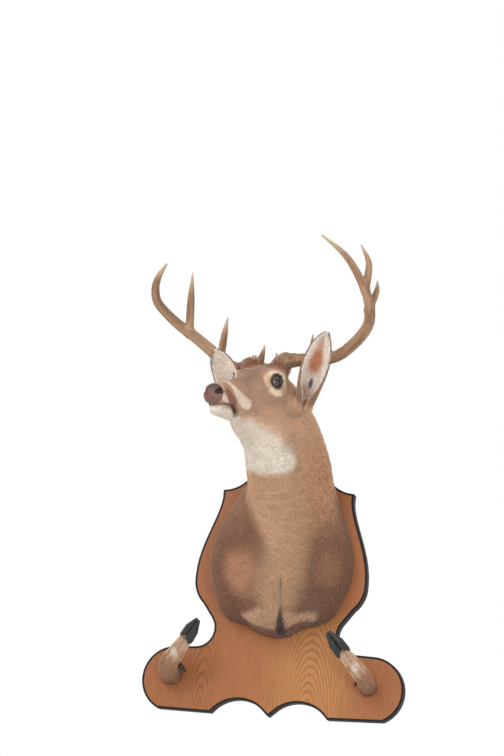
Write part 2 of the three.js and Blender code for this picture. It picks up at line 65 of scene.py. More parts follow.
# The neck's two columns, as paths and their radii.
NAPE = ([[4, -10, 150], [36, -105, 255], [25, -180, 335], [2, -208, 375]], [112, 81, 66, 56])
WINDPIPE = ([[6, -85, 45], [26, -165, 155], [9, -234, 248], [-10, -272, 300]], [110, 82, 63, 45])
# What rounds the head and chest out: rods as [end, end, radius, radius], bulges as [middle, radii].
CHEEK_BULGE = ([-202, 30, -8], [56, 27, 50])
CHEEKBONE = ([-150, 27, 34], [-240, 44, 34], 18, 22)
BROW = ([-172, 33, 72], [-212, 46, 76], 11, 14)
PEDICLE = ([-228, 34, 80], [-229, 35, 101], 20, 19)
EAR_ROOT = ([-246, 52, 24], [-251, 78, 14], 25, 20)
NOSE_BULGE = ([-15, 0, 0], [12, 22, 20])
SOCKET = ([-179, 61, 58], [19, 13, 16])
CHEST = ([MIDLINE, -25, 66], [152, 165, 190])
SHOULDER_BULGE = ([MIDLINE + 90, -30, 36], [76, 104, 112])
BRISKET = ([MIDLINE, -40, -72], [56, 100, 52])
UPPER_LEG = ([MIDLINE + 90, -38, -44], [50, 66, 50])


def srgb(r, g, b):
    """A colour given as 0-255 screen values, in linear light."""
    c = np.array([r, g, b]) / 255
    return np.where(c > 0.04045, ((c + 0.055) / 1.055) ** 2.4, c / 12.92)


# ---- the head's frame ----
def head_axes():
    yaw, dip, roll = np.radians([HEAD_YAW, HEAD_DIP, HEAD_ROLL])
    forward = np.array([-np.sin(yaw) * np.cos(dip), -np.cos(yaw) * np.cos(dip), -np.sin(dip)])
    level = np.array([np.cos(yaw), -np.sin(yaw), 0])
    left = level * np.cos(roll) + np.cross(forward, level) * np.sin(roll)
    return np.array([forward, left, np.cross(forward, left)])


HEAD = head_axes()


def to_head(p):
    return (p - NOSE) @ HEAD.T


def from_head(q):
    return NOSE + np.asarray(q, float) @ HEAD


# ---- fields ----
def norm(v):
    return np.linalg.norm(v, axis=-1)


def dot(a, b):
    return np.einsum("ij,ij->i", a, b)


def unit(v):
    return v / np.maximum(norm(v)[..., None], 1e-9)


def cone(p, a, b, ra, rb):
    a, b = np.asarray(a, float), np.asarray(b, float)
    t = np.clip((p - a) @ (b - a) / ((b - a) @ (b - a)), 0, 1)
    away = p - a - t[:, None] * (b - a)
    return np.sqrt(dot(away, away)) - ra - (rb - ra) * t


def chain(p, points, radii):
    """Cones end to end."""
    spans = zip(points, points[1:], radii, radii[1:])
    return np.minimum.reduce([cone(p, a, b, ra, rb) for a, b, ra, rb in spans])


def ellipsoid(p, centre, radii):
    q = p - np.asarray(centre, float)
    r = np.asarray(radii, float)
    size = norm(q / r)
    return size * (size - 1) / np.maximum(norm(q / r ** 2), 1e-9)


def soft_min(a, b, k):
    h = np.maximum(k - np.abs(a - b), 0)
    return np.minimum(a, b) - h * h / (4 * k)


def soft_max(a, b, k):
    return -soft_min(-a, -b, k)


def ramp(low, high, x):
    t = np.clip((x - low) / (high - low), 0, 1)
    return t * t * (3 - 2 * t)


def through(knots, x):
    """A smooth function through the knots [x, y], level beyond the ends."""
    at, y = np.array(knots, float).T
    last = len(at) - 1
    ends = np.arange(last + 1)
    after, before = np.minimum(ends + 1, last), np.maximum(ends - 1, 0)
    slope = (y[after] - y[before]) / (at[after] - at[before])
    x = np.clip(x, at[0], at[-1])
    i = np.clip(np.searchsorted(at, x, "right") - 1, 0, last - 1)
    run = at[i + 1] - at[i]
    t = (x - at[i]) / run
    bend = run * t * (1 - t) * (slope[i] * (1 - t) - slope[i + 1] * t)
    return y[i] + (y[i + 1] - y[i]) * t * t * (3 - 2 * t) + bend


def smooth_path(points, count):
    """Evenly numbered points on a centripetal curve through the given ones."""
    p = np.asarray(points, float)
    p = np.vstack([2 * p[0] - p[1], p, 2 * p[-1] - p[-2]])
    out = []
    for t in np.linspace(0, len(points) - 1, count):
        i = min(int(t), len(points) - 2)
        a, b, c, d = p[i:i + 4]
        gap = [max(norm(v) ** 0.5, 1e-4) for v in (b - a, c - b, d - c)]
        into = ((b - a) / gap[0] - (c - a) / (gap[0] + gap[1]) + (c - b) / gap[1]) * gap[1]
        away = ((c - b) / gap[1] - (d - b) / (gap[1] + gap[2]) + (d - c) / gap[2]) * gap[1]
        s = t - i
        square, cube = 3 * (c - b) - 2 * into - away, 2 * (b - c) + into + away
        out.append(b + s * into + s * s * square + s ** 3 * cube)
    return np.array(out)


def spine(points, radii, pieces):
    """A smooth path in so many pieces, and a radius at each of its points."""
    widths = through([[i, r] for i, r in enumerate(radii)], np.linspace(0, len(radii) - 1, pieces + 1))
    return smooth_path(points, pieces + 1), widths


# ---- head ----
def loft(q, stations, back, front, front_round, squareness=2.2):
    """A long body along the head: each station is [forward, top, bottom, half width]."""
    table = np.array(stations, float)
    top, bottom, half = [through(table[:, [0, k]], q[:, 0]) for k in (1, 2, 3)]
    high = (top - bottom) / 2
    middle = np.abs((q[:, 2] - bottom - high) / high) ** squareness
    across = np.abs(q[:, 1] / half) ** squareness + middle
    side = (across ** (1 / squareness) - 1) * np.minimum(high, half)
    return soft_max(soft_max(side, q[:, 0] - front, front_round), back - q[:, 0], 40)


def mirrored(q):
    """Both halves of the head folded onto its left."""
    return q * [1, 0, 1] + np.abs(q) * [0, 1, 0]


def skull(q):
    m = mirrored(q)
    d = soft_min(loft(q, SKULL, -300, -4, 14), ellipsoid(m, *CHEEK_BULGE), 20)
    for rod in (CHEEKBONE, BROW):
        d = soft_min(d, cone(m, *rod), 20)
    d = soft_min(d, loft(q, JAW, -290, -22, 10), 14)
    for rod in (PEDICLE, EAR_ROOT):
        d = soft_min(d, cone(m, *rod), 12)
    d = soft_min(d, ellipsoid(q, *NOSE_BULGE), 12)
    return soft_max(d, -ellipsoid(m, *SOCKET), 8)


# ---- neck and chest ----
def trunk(p):
    m = p * [0, 1, 1] + (MIDLINE + np.abs(p - MIDLINE)) * [1, 0, 0]
    d = soft_min(ellipsoid(p, *CHEST), ellipsoid(m, *SHOULDER_BULGE), 40)
    d = soft_min(d, ellipsoid(p, *BRISKET), 18)
    d = soft_min(d, ellipsoid(m, *UPPER_LEG), 18)
    neck = soft_min(chain(p, *spine(*NAPE, 16)), chain(p, *spine(*WINDPIPE, 16)), 50)
    return soft_min(neck, d, 45)


# ---- ears ----
EARS = {                               # root, tip and the way the cup faces, for each side of the head
    1: ([-250, 91, 14], [-202, 159, 171], [1, 0.6, 0]),
    -1: ([-250, -78, 8], [-195, -121, 131], [1, 0.15, 0]),
}
EAR_BOW = 2
# Half width, the cup's depth, and the degrees that it wraps round, at places along the ear.
EAR_HALF = [[0, 20], [0.2, 26], [0.5, 31.5], [0.75, 28], [0.91, 19], [1, 8]]
EAR_DEPTH = [[0, 21], [0.25, 25], [0.5, 24], [0.8, 15], [1, 8]]
EAR_WRAP = [[0, 165], [0.15, 150], [0.35, 115], [0.6, 95], [1, 88]]
EAR_WALL = 4.6
EAR_INSET = 1.2


def ear_place(q, side):
    """Along the ear from 0 to 1, the angle round from its back, and the distance out from its arc."""
    root, tip, opening = [np.array(point, float) for point in EARS[side]]
    length = norm(tip - root)
    along = (tip - root) / length
    opening = unit(opening - opening @ along * along)
    local = (q - root) @ np.array([along, np.cross(opening, along), opening]).T
    t = local[:, 0] / length
    across = local[:, 1] - side * EAR_BOW * np.sin(np.pi * np.clip(t, 0, 1))
    half, depth = through(EAR_HALF, t), through(EAR_DEPTH, t)
    turn = np.arctan2(across / half, -local[:, 2] / depth)
    reach = np.hypot(half * np.sin(turn), depth * np.cos(turn))
    out = (np.hypot(across / half, local[:, 2] / depth) - 1) * reach
    return t, turn, out, reach, np.maximum(np.maximum(-t, t - 1), 0) * length


def ear(q, side):
    t, turn, out, reach, beyond = ear_place(q, side)
    past_rim = np.maximum(np.abs(turn) - np.radians(through(EAR_WRAP, t)), 0) * reach
    middle = out + EAR_INSET + EAR_WALL / 2
    return np.sqrt(middle ** 2 + past_rim ** 2 + beyond ** 2) - EAR_WALL / 2


# ---- eyes ----
LID_OPENING = (14.0, 12.6)             # half length and half height of the opening between the lids
LID_THICK = 2.4
LID_FIT = 0.4                          # the gap between the lids and the eyeball


def eye_frame(side):
    """The eye's centre, and its axes: out through the pupil, along the lids, and across them."""
    out = unit(np.array([0.42, side * 0.9, 0.06]))
    along = unit(np.cross([0, 0, 1], out)) * side
    return EYE_CENTRE * [1, side, 1], np.array([out, along, np.cross(out, along) * side])


def to_eye(q, side):
    centre, axes = eye_frame(side)
    return (q - centre) @ axes.T


def lid_gap(e):
    """Below zero between the lids, for points in the eye's own frame."""
    long, high = LID_OPENING
    return (np.hypot(e[:, 1] / long, e[:, 2] / high) - 1) * high


def lids(q, side, d):
    """The flesh d with lids laid over the eyeball and opened in an oval."""
    e = to_eye(q, side)
    ball = norm(e)
    d = soft_min(d, ball - EYE_RADIUS - LID_THICK, 7)
    d = soft_max(d, -np.maximum(lid_gap(e), -e[:, 0]), 2.5)
    return soft_max(d, EYE_RADIUS + LID_FIT - ball, 0.6)


# ---- the skin: all the flesh, lying inside the coat's surface ----
MOUTH = [[-15, 0, -23], [-17, 11, -21], [-22, 18, -20], [-37, 21, -18], [-56, 22, -18],
         [-70, 21, -22], [-78, 20, -28]]
MOUTH_CUT = [1.8, 1.8, 1.8, 1.8, 2.0, 2.6, 2.4]
NOSTRIL = [[-4, 15, 3], [-11, 20, 7], [-21, 22, 5]]
NOSTRIL_CUT = [4.6, 6.2, 2.2]
CREASE = [[42, -185, -6], [40, -165, -42], [38, -143, -68], [35, -121, -91], [30, -97, -109],
          [24, -62, -122]]             # between the forelegs, under the brisket
CREASE_CUT = [0.4, 0.9, 2.4, 5, 6, 5]
COAT_DEPTH = [[-330, 5], [-250, 3.6], [-180, 2.2], [-60, 1.3], [-20, 0.6]]


def coat_depth(q):
    """How thick the coat lies, from the bare nose to the neck."""
    return through(COAT_DEPTH, q[:, 0])


def skin(p):
    q = to_head(p)
    m = mirrored(q)
    d = soft_min(skull(q), trunk(p), 45) + coat_depth(q)
    d = soft_max(d, -chain(m, MOUTH, MOUTH_CUT), 2.5)
    d = soft_max(d, -chain(m, NOSTRIL, NOSTRIL_CUT), 2)
    for side in (1, -1):
        d = lids(q, side, d)
        d = soft_min(d, ear(q, side), 9)
    d = soft_max(d, -chain(p, CREASE, CREASE_CUT), 6)
    return np.maximum(d, p[:, 1] + BOARD_THICK)


# ---- from a field to a mesh ----
POINTS_AT_ONCE = 300000


def stops(low, high, fine_low, fine_high, fine, coarse):
    out = [low]
    while out[-1] < high:
        out.append(out[-1] + (fine if fine_low - fine < out[-1] < fine_high else coarse))
    return np.array(out, float)


def sample(field, axes, block=6):
    """The field on a grid; a block far from the surface takes the value at its middle."""
    cuts = [[axis[i:i + block] for i in range(0, len(axis), block)] for axis in axes]
    middles = np.meshgrid(*[[c.mean() for c in cut] for cut in cuts], indexing="ij")
    halves = np.meshgrid(*[[np.ptp(c) / 2 for c in cut] for cut in cuts], indexing="ij")
    rough = field(np.stack(middles, -1).reshape(-1, 3)).reshape(middles[0].shape)
    near = np.abs(rough) < np.linalg.norm(halves, axis=0) * 1.7 + 5

    def spread(a):
        for k in range(3):
            a = np.repeat(a, block, k)
        return a[:len(axes[0]), :len(axes[1]), :len(axes[2])]

    value = spread(rough).copy()
    cells = np.nonzero(spread(near))
    points = np.stack([axis[i] for axis, i in zip(axes, cells)], 1)
    batches = np.array_split(points, len(points) // POINTS_AT_ONCE + 1)
    value[cells] = np.concatenate([field(batch) for batch in batches])
    return value


def crossings(value, axis):
    low = np.moveaxis(value, axis, 0)[:-1]
    high = np.moveaxis(value, axis, 0)[1:]
    where = np.moveaxis((low < 0) != (high < 0), 0, axis)
    cell = np.argwhere(where)
    step = np.eye(3, dtype=int)[axis]
    return cell, value[tuple(cell.T)], value[tuple((cell + step).T)]


def surface(field, axes):
    """One vertex in each cell that the surface crosses, and one quad for each crossed edge."""
    value = sample(field, axes)
    shape = np.array(value.shape) - 1
    total, count = np.zeros((*shape, 3)), np.zeros(shape)
    quads = []
    for axis in range(3):
        cell, here, there = crossings(value, axis)
        a, b = (axis + 1) % 3, (axis + 2) % 3
        inside = (cell[:, a] > 0) & (cell[:, b] > 0) & (cell[:, a] < shape[a]) & (cell[:, b] < shape[b])
        cell, here, there = cell[inside], here[inside], there[inside]
        point = np.stack([grid[i] for grid, i in zip(axes, cell.T)], 1)
        run = axes[axis][cell[:, axis] + 1] - point[:, axis]
        point[:, axis] += run * here / (here - there)
        corners = []
        for da, db in ((1, 1), (0, 1), (0, 0), (1, 0)):
            corner = cell.copy()
            corner[:, a] -= da
            corner[:, b] -= db
            corners.append(corner)
            np.add.at(total, tuple(corner.T), point)
            np.add.at(count, tuple(corner.T), 1)
        quad = np.stack([np.ravel_multi_index(c.T, shape) for c in corners], 1)
        quads.append(np.where((here < 0)[:, None], quad, quad[:, ::-1]))
    used = np.flatnonzero(count)
    number = np.zeros(count.size, int)
    number[used] = np.arange(len(used))
    vertices = total.reshape(-1, 3)[used] / count.ravel()[used, None]
    return vertices, number[np.concatenate(quads)]


def slope(field, p, h=0.4):
    return np.stack([(field(p + h * e) - field(p - h * e)) / (2 * h) for e in np.eye(3)], 1)


def normals(field, p):
    return unit(slope(field, p))


def settled_surface(field, axes, rounds=3, furthest=2.0):
    """The surface's vertices, moved right onto it, and its faces."""
    p, faces = surface(field, axes)
    for _ in range(rounds):
        g = slope(field, p)
        d = np.clip(field(p), -furthest, furthest)
        p = p - d[:, None] * g / np.maximum(dot(g, g), 0.3)[:, None]
    return p, faces


def even_grid(points, margin, step):
    """Grid lines a step apart, round the points and their margin."""
    low, high = points.min(0) - margin, points.max(0) + margin
    return [np.arange(start, end, step) for start, end in zip(low, high)]


# ---- meshes ----
def add_object(name, data):
    obj = bpy.data.objects.new(name, data)
    bpy.context.collection.objects.link(obj)
    return obj


def mesh_object(name, vertices, *faces, colours=None):
    """A mesh from arrays of vertices, in millimetres, and of triangles or quads."""
    mesh = bpy.data.meshes.new(name)
    faces = [f for f in faces if len(f)]
    corners = np.concatenate([f.ravel() for f in faces]).astype(np.int32)
    sizes = np.concatenate([np.full(len(f), f.shape[1]) for f in faces])
    mesh.vertices.add(len(vertices))
    mesh.vertices.foreach_set("co", (np.asarray(vertices) * MM).astype(np.float32).ravel())
    mesh.loops.add(len(corners))
    mesh.loops.foreach_set("vertex_index", corners)
    mesh.polygons.add(len(sizes))
    starts = np.concatenate([[0], np.cumsum(sizes)[:-1]]).astype(np.int32)
    mesh.polygons.foreach_set("loop_start", starts)
    mesh.polygons.foreach_set("use_smooth", np.ones(len(sizes), bool))
    mesh.update(calc_edges=True)
    if colours is not None:
        layer = mesh.color_attributes.new("coat", "FLOAT_COLOR", "POINT")
        rgba = np.ones((len(vertices), 4), np.float32)
        rgba[:, :3] = colours
        layer.data.foreach_set("color", rgba.ravel())
    return add_object(name, mesh)


def finish_piece(obj, material, nodes=(), directions=None):
    """The material, the shading's normals, the piece's place under the root, and the model's parts that it
    hides.
    """
    if directions is not None:
        obj.data.normals_split_custom_set_from_vertices([tuple(d) for d in directions])
    obj.data.materials.append(material)
    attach(obj, "root")
    if nodes:
        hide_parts(*nodes)


# ---- materials ----
def material(name, **sockets):
    """A new material; its shader's own sockets are given by name, with _ for a space."""
    mat = bpy.data.materials.new(name)
    mat.use_nodes = True
    shader = mat.node_tree.nodes["Principled BSDF"]
    for key, value in sockets.items():
        shader.inputs[key.replace("_", " ")].default_value = value
    return mat


def node(mat, kind, inputs=None, **settings):
    """A shader node; an input is a number, a colour or another node's output."""
    new = mat.node_tree.nodes.new("ShaderNode" + kind)
    for key, value in settings.items():
        setattr(new, key, value)
    for key, value in (inputs or {}).items():
        if isinstance(value, bpy.types.NodeSocket):
            mat.node_tree.links.new(value, new.inputs[key])
        else:
            new.inputs[key].default_value = value
    return new


def link(mat, output, socket):
    mat.node_tree.links.new(output, mat.node_tree.nodes["Principled BSDF"].inputs[socket])


def place(mat, stretch=(1, 1, 1)):
    """Object coordinates in metres, stretched along each axis."""
    coords = node(mat, "TexCoord").outputs["Object"]
    return node(mat, "VectorMath", {0: coords, 1: stretch}, operation="MULTIPLY").outputs[0]


def noise_node(mat, vector, scale, detail=4.0, roughness=0.5):
    inputs = {"Vector": vector, "Scale": scale, "Detail": detail, "Roughness": roughness}
    return node(mat, "TexNoise", inputs).outputs["Fac"]


def ramp_node(mat, factor, *marks):
    """A colour ramp: each stop is (position, linear colour)."""
    new = node(mat, "ValToRGB", {"Fac": factor})
    elements = new.color_ramp.elements
    while len(elements) < len(marks):
        elements.new(0.5)
    for element, (position, colour) in zip(elements, marks):
        element.position = position
        element.color = (*colour, 1)
    return new.outputs["Color"]


def mix(mat, factor, a, b, blend="MIX"):
    """Colours a and b mixed by factor."""
    new = node(mat, "Mix", data_type="RGBA", blend_type=blend)
    for index, value in ((0, factor), (6, a), (7, b)):
        if isinstance(value, bpy.types.NodeSocket):
            mat.node_tree.links.new(value, new.inputs[index])
        else:
            new.inputs[index].default_value = value if index == 0 else (*value, 1)
    return new.outputs[2]


def bump(mat, height, distance, strength):
    inputs = {"Height": height, "Distance": distance, "Strength": strength}
    link(mat, node(mat, "Bump", inputs).outputs[0], "Normal")


def painted(mat):
    """The colours painted on the mesh."""
    return node(mat, "Attribute", attribute_name="coat").outputs["Color"]


def grey(value):
    return (value, value, value)


def fur_material(name, roughness=0.8):
    """Hair: the painted markings, broken up into fine lighter and darker hairs."""
    mat = material(name, Roughness=roughness, Sheen_Weight=0.25, Sheen_Roughness=0.4)
    mat.node_tree.nodes["Principled BSDF"].inputs["Specular IOR Level"].default_value = 0.25
    colour = painted(mat)
    fine = noise_node(mat, place(mat, (1, 1, 0.35)), 900, 3.0)
    middle = noise_node(mat, place(mat, (0.8, 0.8, 1.6)), 230, 3.0)
    broad = noise_node(mat, place(mat), 45, 3.0)
    flecks = ramp_node(mat, fine, (0.3, grey(0.88)), (0.7, grey(1.12)))
    grain = ramp_node(mat, middle, (0.32, grey(0.86)), (0.64, grey(1.1)))
    patches = ramp_node(mat, broad, (0.3, grey(0.93)), (0.7, grey(1.07)))
    for layer in (flecks, grain, patches):
        colour = mix(mat, 1.0, colour, layer, "MULTIPLY")
    link(mat, colour, "Base Color")
    bump(mat, fine, 0.0006, 0.6)
    return mat


# ---- the coat's markings ----
NECK = srgb(214, 171, 136)
NECK_SHADED_SIDE = srgb(192, 144, 109)
FRONT = srgb(198, 157, 120)
FRONT_LIGHT = srgb(214, 178, 142)
NECK_RUST = srgb(180, 130, 98)
SHOULDER = srgb(137, 97, 74)
SHOULDER_WARM = srgb(196, 145, 112)
PAINTED_SHADE_BROWN = srgb(108, 78, 61)
PALE = srgb(214, 173, 140)
CREAM = srgb(238, 226, 210)
FACE = srgb(190, 153, 125)
FOREHEAD = srgb(150, 118, 99)
CROWN = srgb(150, 98, 70)
CHEEK = srgb(214, 172, 139)
EYE_RING = srgb(252, 230, 204)
EYE_RUST = srgb(196, 140, 98)
WHITE = srgb(234, 222, 207)
BAND = srgb(248, 228, 208)
JOWL = srgb(230, 192, 160)
RUSSET = srgb(150, 94, 70)
DARK = srgb(44, 31, 26)
EAR_BACK = srgb(160, 124, 100)
EAR_INSIDE = srgb(238, 226, 212)
EAR_ORANGE = srgb(204, 128, 80)
EAR_DARK = srgb(70, 52, 44)


def blob(centre, radii):
    return lambda p: ellipsoid(p, centre, radii)


def streak(points, radii):
    return lambda p: chain(p, points, radii)


def both(a, b):
    return lambda p: np.maximum(a(p), b(p))


def past(axis, at, sign=1):
    """The half of space past a place on an axis, or before it where the sign is -1."""
    return lambda p: sign * (at - p[:, axis])


# Each mark: its colour, its shape, the width over which its edge fades, and its strength.
SHOULDER_MARKS = [
    # painted shade: darker towards the board, where the shoulders and neck meet it
    (PAINTED_SHADE_BROWN, past(1, -62), 60, 0.7),
    (SHOULDER_WARM, blob([-58, -168, 2], [44, 50, 62]), 60, 0.9),
    (SHOULDER_WARM, blob([140, -122, 25], [30, 40, 42]), 46, 0.4),
    (FRONT, streak([[50, -275, 205], [56, -247, 144], [60, -219, 82], [52, -197, 31], [30, -160, -52]],
                   [70, 66, 56, 50, 52]), 56, 0.95),
    (FRONT_LIGHT, streak([[-6, -240, 150], [30, -225, 60]], [16, 20]), 36, 0.35),
    (NECK_RUST, streak([[104, -215, 262], [122, -165, 150]], [26, 30]), 50, 0.55),
]
BRISKET_MARKS = [
    (PALE, streak([[-62, -90, -100], [-20, -122, -104], [38, -112, -108], [72, -96, -102],
                   [98, -86, -92]], [20, 31, 32, 26, 22]), 12, 0.8),
    # painted shade: darker down the crease between the forelegs and under the brisket
    (SHOULDER, streak(CREASE[3:], [6, 13, 20]), 16, 0.6),
    (DARK, streak(CREASE, [2.8, 3.4, 5, 9, 12, 13]), 5, 0.85),
]
THROAT = streak([[-50, -400, 280], [-34, -345, 275], [-20, -305, 258], [22, -286, 236]], [18, 30, 50, 54])
THROAT_END = 196
HEAD_MARKS = [
    (FACE, both(past(0, -240), past(2, -84)), 60, 1),
    (CHEEK, blob([-205, 58, -34], [66, 34, 36]), 40, 0.9),
    (FOREHEAD, blob([-120, 0, 74], [84, 34, 46]), 30, 0.8),
    (CROWN, blob([-228, 30, 108], [30, 40, 30]), 26, 0.9),
    (JOWL, streak([[-92, 24, -34], [-150, 30, -48], [-205, 46, -62]], [12, 20, 28]), 26, 0.75),
    (CREAM, streak([[-100, 0, -56], [-145, 4, -62], [-190, 22, -92]], [20, 36, 53]), 24, 0.9),
]
EYE_MARKS = [                          # a pale ring with rusty corners round the lids' dark edge
    (EYE_RING, blob(EYE_CENTRE + [2, 6, -3], [34, 26, 30]), 9, 0.95),
    (EYE_RUST, blob(EYE_CENTRE + [24, 2, -5], [7, 10, 18]), 8, 0.5),
    (EYE_RUST, blob(EYE_CENTRE + [-19, 14, -14], [9, 9, 14]), 12, 0.6),
    (DARK, blob(EYE_CENTRE + [2, 8, 0], [19.5, 18, 17.5]), 5, 0.95),
    (DARK, streak([[-165, 52, 44], [-153, 47, 37]], [2.6, 1.2]), 4, 0.6),
]
MUZZLE_MARKS = [                       # a white chin, a pale band, and a russet patch on the lip
    (WHITE, both(streak([[-30, 0, -38], [-64, 0, -44], [-96, 4, -50]], [22, 24, 20]),
                 past(2, -24, -1)), 10, 1),
    (BAND, both(streak([[-46, 6, 36], [-48, 22, 26], [-60, 28, 14], [-82, 30, 2], [-112, 30, -8]],
                       [4, 6, 9, 12, 13]), past(2, -16)), 9, 0.9),
    (RUSSET, streak([[-28, 25, 8], [-42, 26, -2], [-66, 25, -14]], [7, 9, 7]), 8, 0.85),
    (WHITE, streak([[-18, 24, -6], [-30, 26, -13], [-52, 26, -20]], [6, 6, 3]), 4, 0.9),
    # painted shade: dark in the corner of the mouth and along the mouth's crease
    (PAINTED_SHADE_BROWN, streak([[-66, 22, -20], [-82, 20, -30]], [6, 11]), 8, 0.7),
    (DARK, streak(MOUTH, [2.4, 2.4, 2.4, 2.6, 3.4, 5.6, 6.0]), 3.5, 0.95),
]
# Where the neck meets the shoulders, and where the neck's front ends on the deer's right: point, normal.
SEAM = ([0, -145, 170], unit(np.array([0.1, -0.66, 0.75])))
STRIP_EDGE = ([-36, -220, 148], [-0.913, 0, -0.407])
# Spots inside the ears: colour, place and size along the ear and round it, raggedness, fade, strength.
STREAK = ((0.78, 0.12), (0.16, 0.25))
EAR_SPOTS = {
    1: [
        (EAR_ORANGE, ((0.57, 0.04), (0.17, 0.38)), 1, 0.9, 0.95),
        (EAR_ORANGE, STREAK, 1, 1.0, 0.65 * 0.95),
        # painted shade: dark deep in the near ear's hollow
        (DARK, ((0.27, -0.02), (0.07, 0.1)), 0, 0.8, 0.85),
        (EYE_RUST, ((0.14, 0.35), (0.1, 0.4)), 0, 0.8, 0.6),
    ],
    -1: [
        (EAR_ORANGE, ((0.57, 0.45), (0.17, 0.25)), 1, 0.9, 0.2),
        (EAR_ORANGE, STREAK, 1, 1.0, 0.65 * 0.2),
        (EYE_RUST, ((0.14, 0.35), (0.1, 0.4)), 0, 0.8, 0.6),
    ],
}
FAR_AWAY = 9.0


class Paint:
    """Colours on points, laid over each other in patches with soft edges."""

    def __init__(self, count, colour):
        self.colour = np.tile(colour, (count, 1))

    def over(self, colour, distance, soft, strength=1.0):
        """Lays a colour where the distance is negative, fading over the soft width."""
        weight = (strength * (1 - ramp(-soft / 2, soft / 2, distance)))[:, None]
        self.colour = self.colour * (1 - weight) + colour * weight

    def marks(self, marks, p):
        for colour, shape, soft, strength in marks:
            self.over(colour, shape(p), soft, strength)


def past_seam(p):
    """Above zero on the neck, below zero on the shoulders."""
    point, normal = SEAM
    return (p - point) @ normal


def body_markings(paint, p):
    x, z = p[:, 0], p[:, 2]
    # painted shade: the neck darker on the viewer's right, the side turned away from the key light
    paint.over(NECK_SHADED_SIDE, 70 - x + 0.25 * (z - 200), 70, 0.8)
    paint.over(SHOULDER, past_seam(p) + 30, 110)
    paint.marks(SHOULDER_MARKS, p)
    point, away = STRIP_EDGE
    paint.over(SHOULDER, 4 - (p - point) @ away, 30, 0.9 * ramp(20, 70, z))
    paint.marks(BRISKET_MARKS, p)
    paint.over(CREAM, soft_max(THROAT(p), THROAT_END - z, 24), 22)


def ear_markings(paint, q):
    """White inside with an orange patch and streak, brown outside with a dark edge at the tip."""
    waves = 0.12 * np.sin(0.5 * q[:, 0] + 0.9 * q[:, 1]) + 0.1 * np.sin(1.1 * q[:, 2] - 0.8 * q[:, 1])
    for side in (1, -1):
        t, turn, out, _, _ = ear_place(q, side)
        on_ear = ear(q, side) - 1.5 + 40 * np.clip(0.08 - t, 0, 1)
        inner = np.where(out < -EAR_INSET - EAR_WALL / 2, on_ear, FAR_AWAY)
        spread = turn / np.radians(through(EAR_WRAP, t))
        paint.over(EAR_BACK, on_ear, 3)
        paint.over(EAR_INSIDE, inner, 2)
        rim = np.where(-spread * side > 0.96, on_ear, FAR_AWAY)
        paint.over(EAR_DARK, rim, 2, 0.5 * ramp(0.5, 0.9, t))
        for colour, (place, size), ragged, soft, strength in EAR_SPOTS[side]:
            oval = np.hypot((t - place[0]) / size[0], (spread - place[1]) / size[1]) - 1
            paint.over(colour, np.maximum(oval + ragged * waves, inner), soft, strength)


def coat_colour(p):
    paint = Paint(len(p), NECK)
    q = to_head(p)
    body_markings(paint, p)
    paint.marks(HEAD_MARKS + EYE_MARKS + MUZZLE_MARKS, mirrored(q))
    ear_markings(paint, q)
    return paint.colour


# ---- the skin ----
FINE, COARSE = 2.3, 6                  # the grid's steps round the head, and elsewhere
GRID = (stops(-240, 240, -175, 125, FINE, COARSE), stops(-500, -8, -500, -200, FINE, COARSE),
        stops(-180, 560, 268, 545, FINE, COARSE))
SHADE_UNDER_HAIR = 0.9                        # painted shade under the hair: the skin's colour is that of the hair over it, times this
NOSE_PAD = ([-9, 0, -1], [17, 26, 24])
FLESH_NODES = ["head", "muzzle", "lower_jaw", "neck", "brisket", "shoulder_left", "shoulder_right",
               "ear_left", "ear_right"]


def on_nose(p):
    """Below zero on the bare nose pad."""
    q = to_head(p)
    return np.maximum(ellipsoid(mirrored(q), *NOSE_PAD), -25.5 - q[:, 2] - 0.1 * q[:, 0])


def build_skin():
    """The skin over all the flesh, with the bare nose as a piece of its own."""
    vertices, faces = settled_surface(skin, GRID)
    directions = normals(skin, vertices)
    bare = on_nose(vertices[faces].mean(1)) < 0
    # painted shade: the skin under the hair darker than the hair
    colours = coat_colour(vertices) * SHADE_UNDER_HAIR
    hide = mesh_object("skin", vertices, faces[~bare], colours=colours)
    finish_piece(hide, fur_material("hide"), FLESH_NODES, directions)
    used = np.unique(faces[bare])
    number = np.zeros(len(vertices), int)
    number[used] = np.arange(len(used))
    nose = mesh_object("nose", vertices[used], number[faces[bare]], colours=nose_shade(vertices[used]))
    finish_piece(nose, nose_material(), ["nose_pad"], directions[used])
    return vertices, faces[~bare], directions


def nose_shade(p):
    """How dark the nose pad is: black in the nostrils as painted shade, grey on top."""
    m = mirrored(to_head(p))
    paint = Paint(len(p), grey(1.0))
    paint.over(srgb(172, 164, 160), 5 - m[:, 2], 14)
    # painted shade: black inside the nostrils
    paint.over(grey(0.05), chain(m, NOSTRIL, [5.4, 7.4, 3.6]), 3)
    return paint.colour


def nose_material():
    """Damp, pebbled bare skin, darker towards the nostrils, where painted shade lies."""
    mat = material("nose_leather", Roughness=0.5)
    where = place(mat)
    pebbles = node(mat, "TexVoronoi", {"Vector": where, "Scale": 420.0}).outputs["Distance"]
    clouds = noise_node(mat, where, 60)
    tone = ramp_node(mat, clouds, (0.3, srgb(84, 57, 49)), (0.7, srgb(126, 88, 74)))
    shade = painted(mat)
    pebbled = mix(mat, pebbles, srgb(103, 72, 61), tone)
    link(mat, mix(mat, 1.0, pebbled, shade, "MULTIPLY"), "Base Color")
    bump(mat, pebbles, 0.0008, 0.5)
    return mat


# ---- the coat: locks of hair over the skin ----
LOCK_FACES = np.array([[0, 2, 1], [0, 1, 3], [1, 4, 3], [1, 2, 4], [2, 5, 4], [2, 0, 5], [0, 3, 5],
                       [3, 4, 6], [4, 5, 6], [5, 3, 6]])
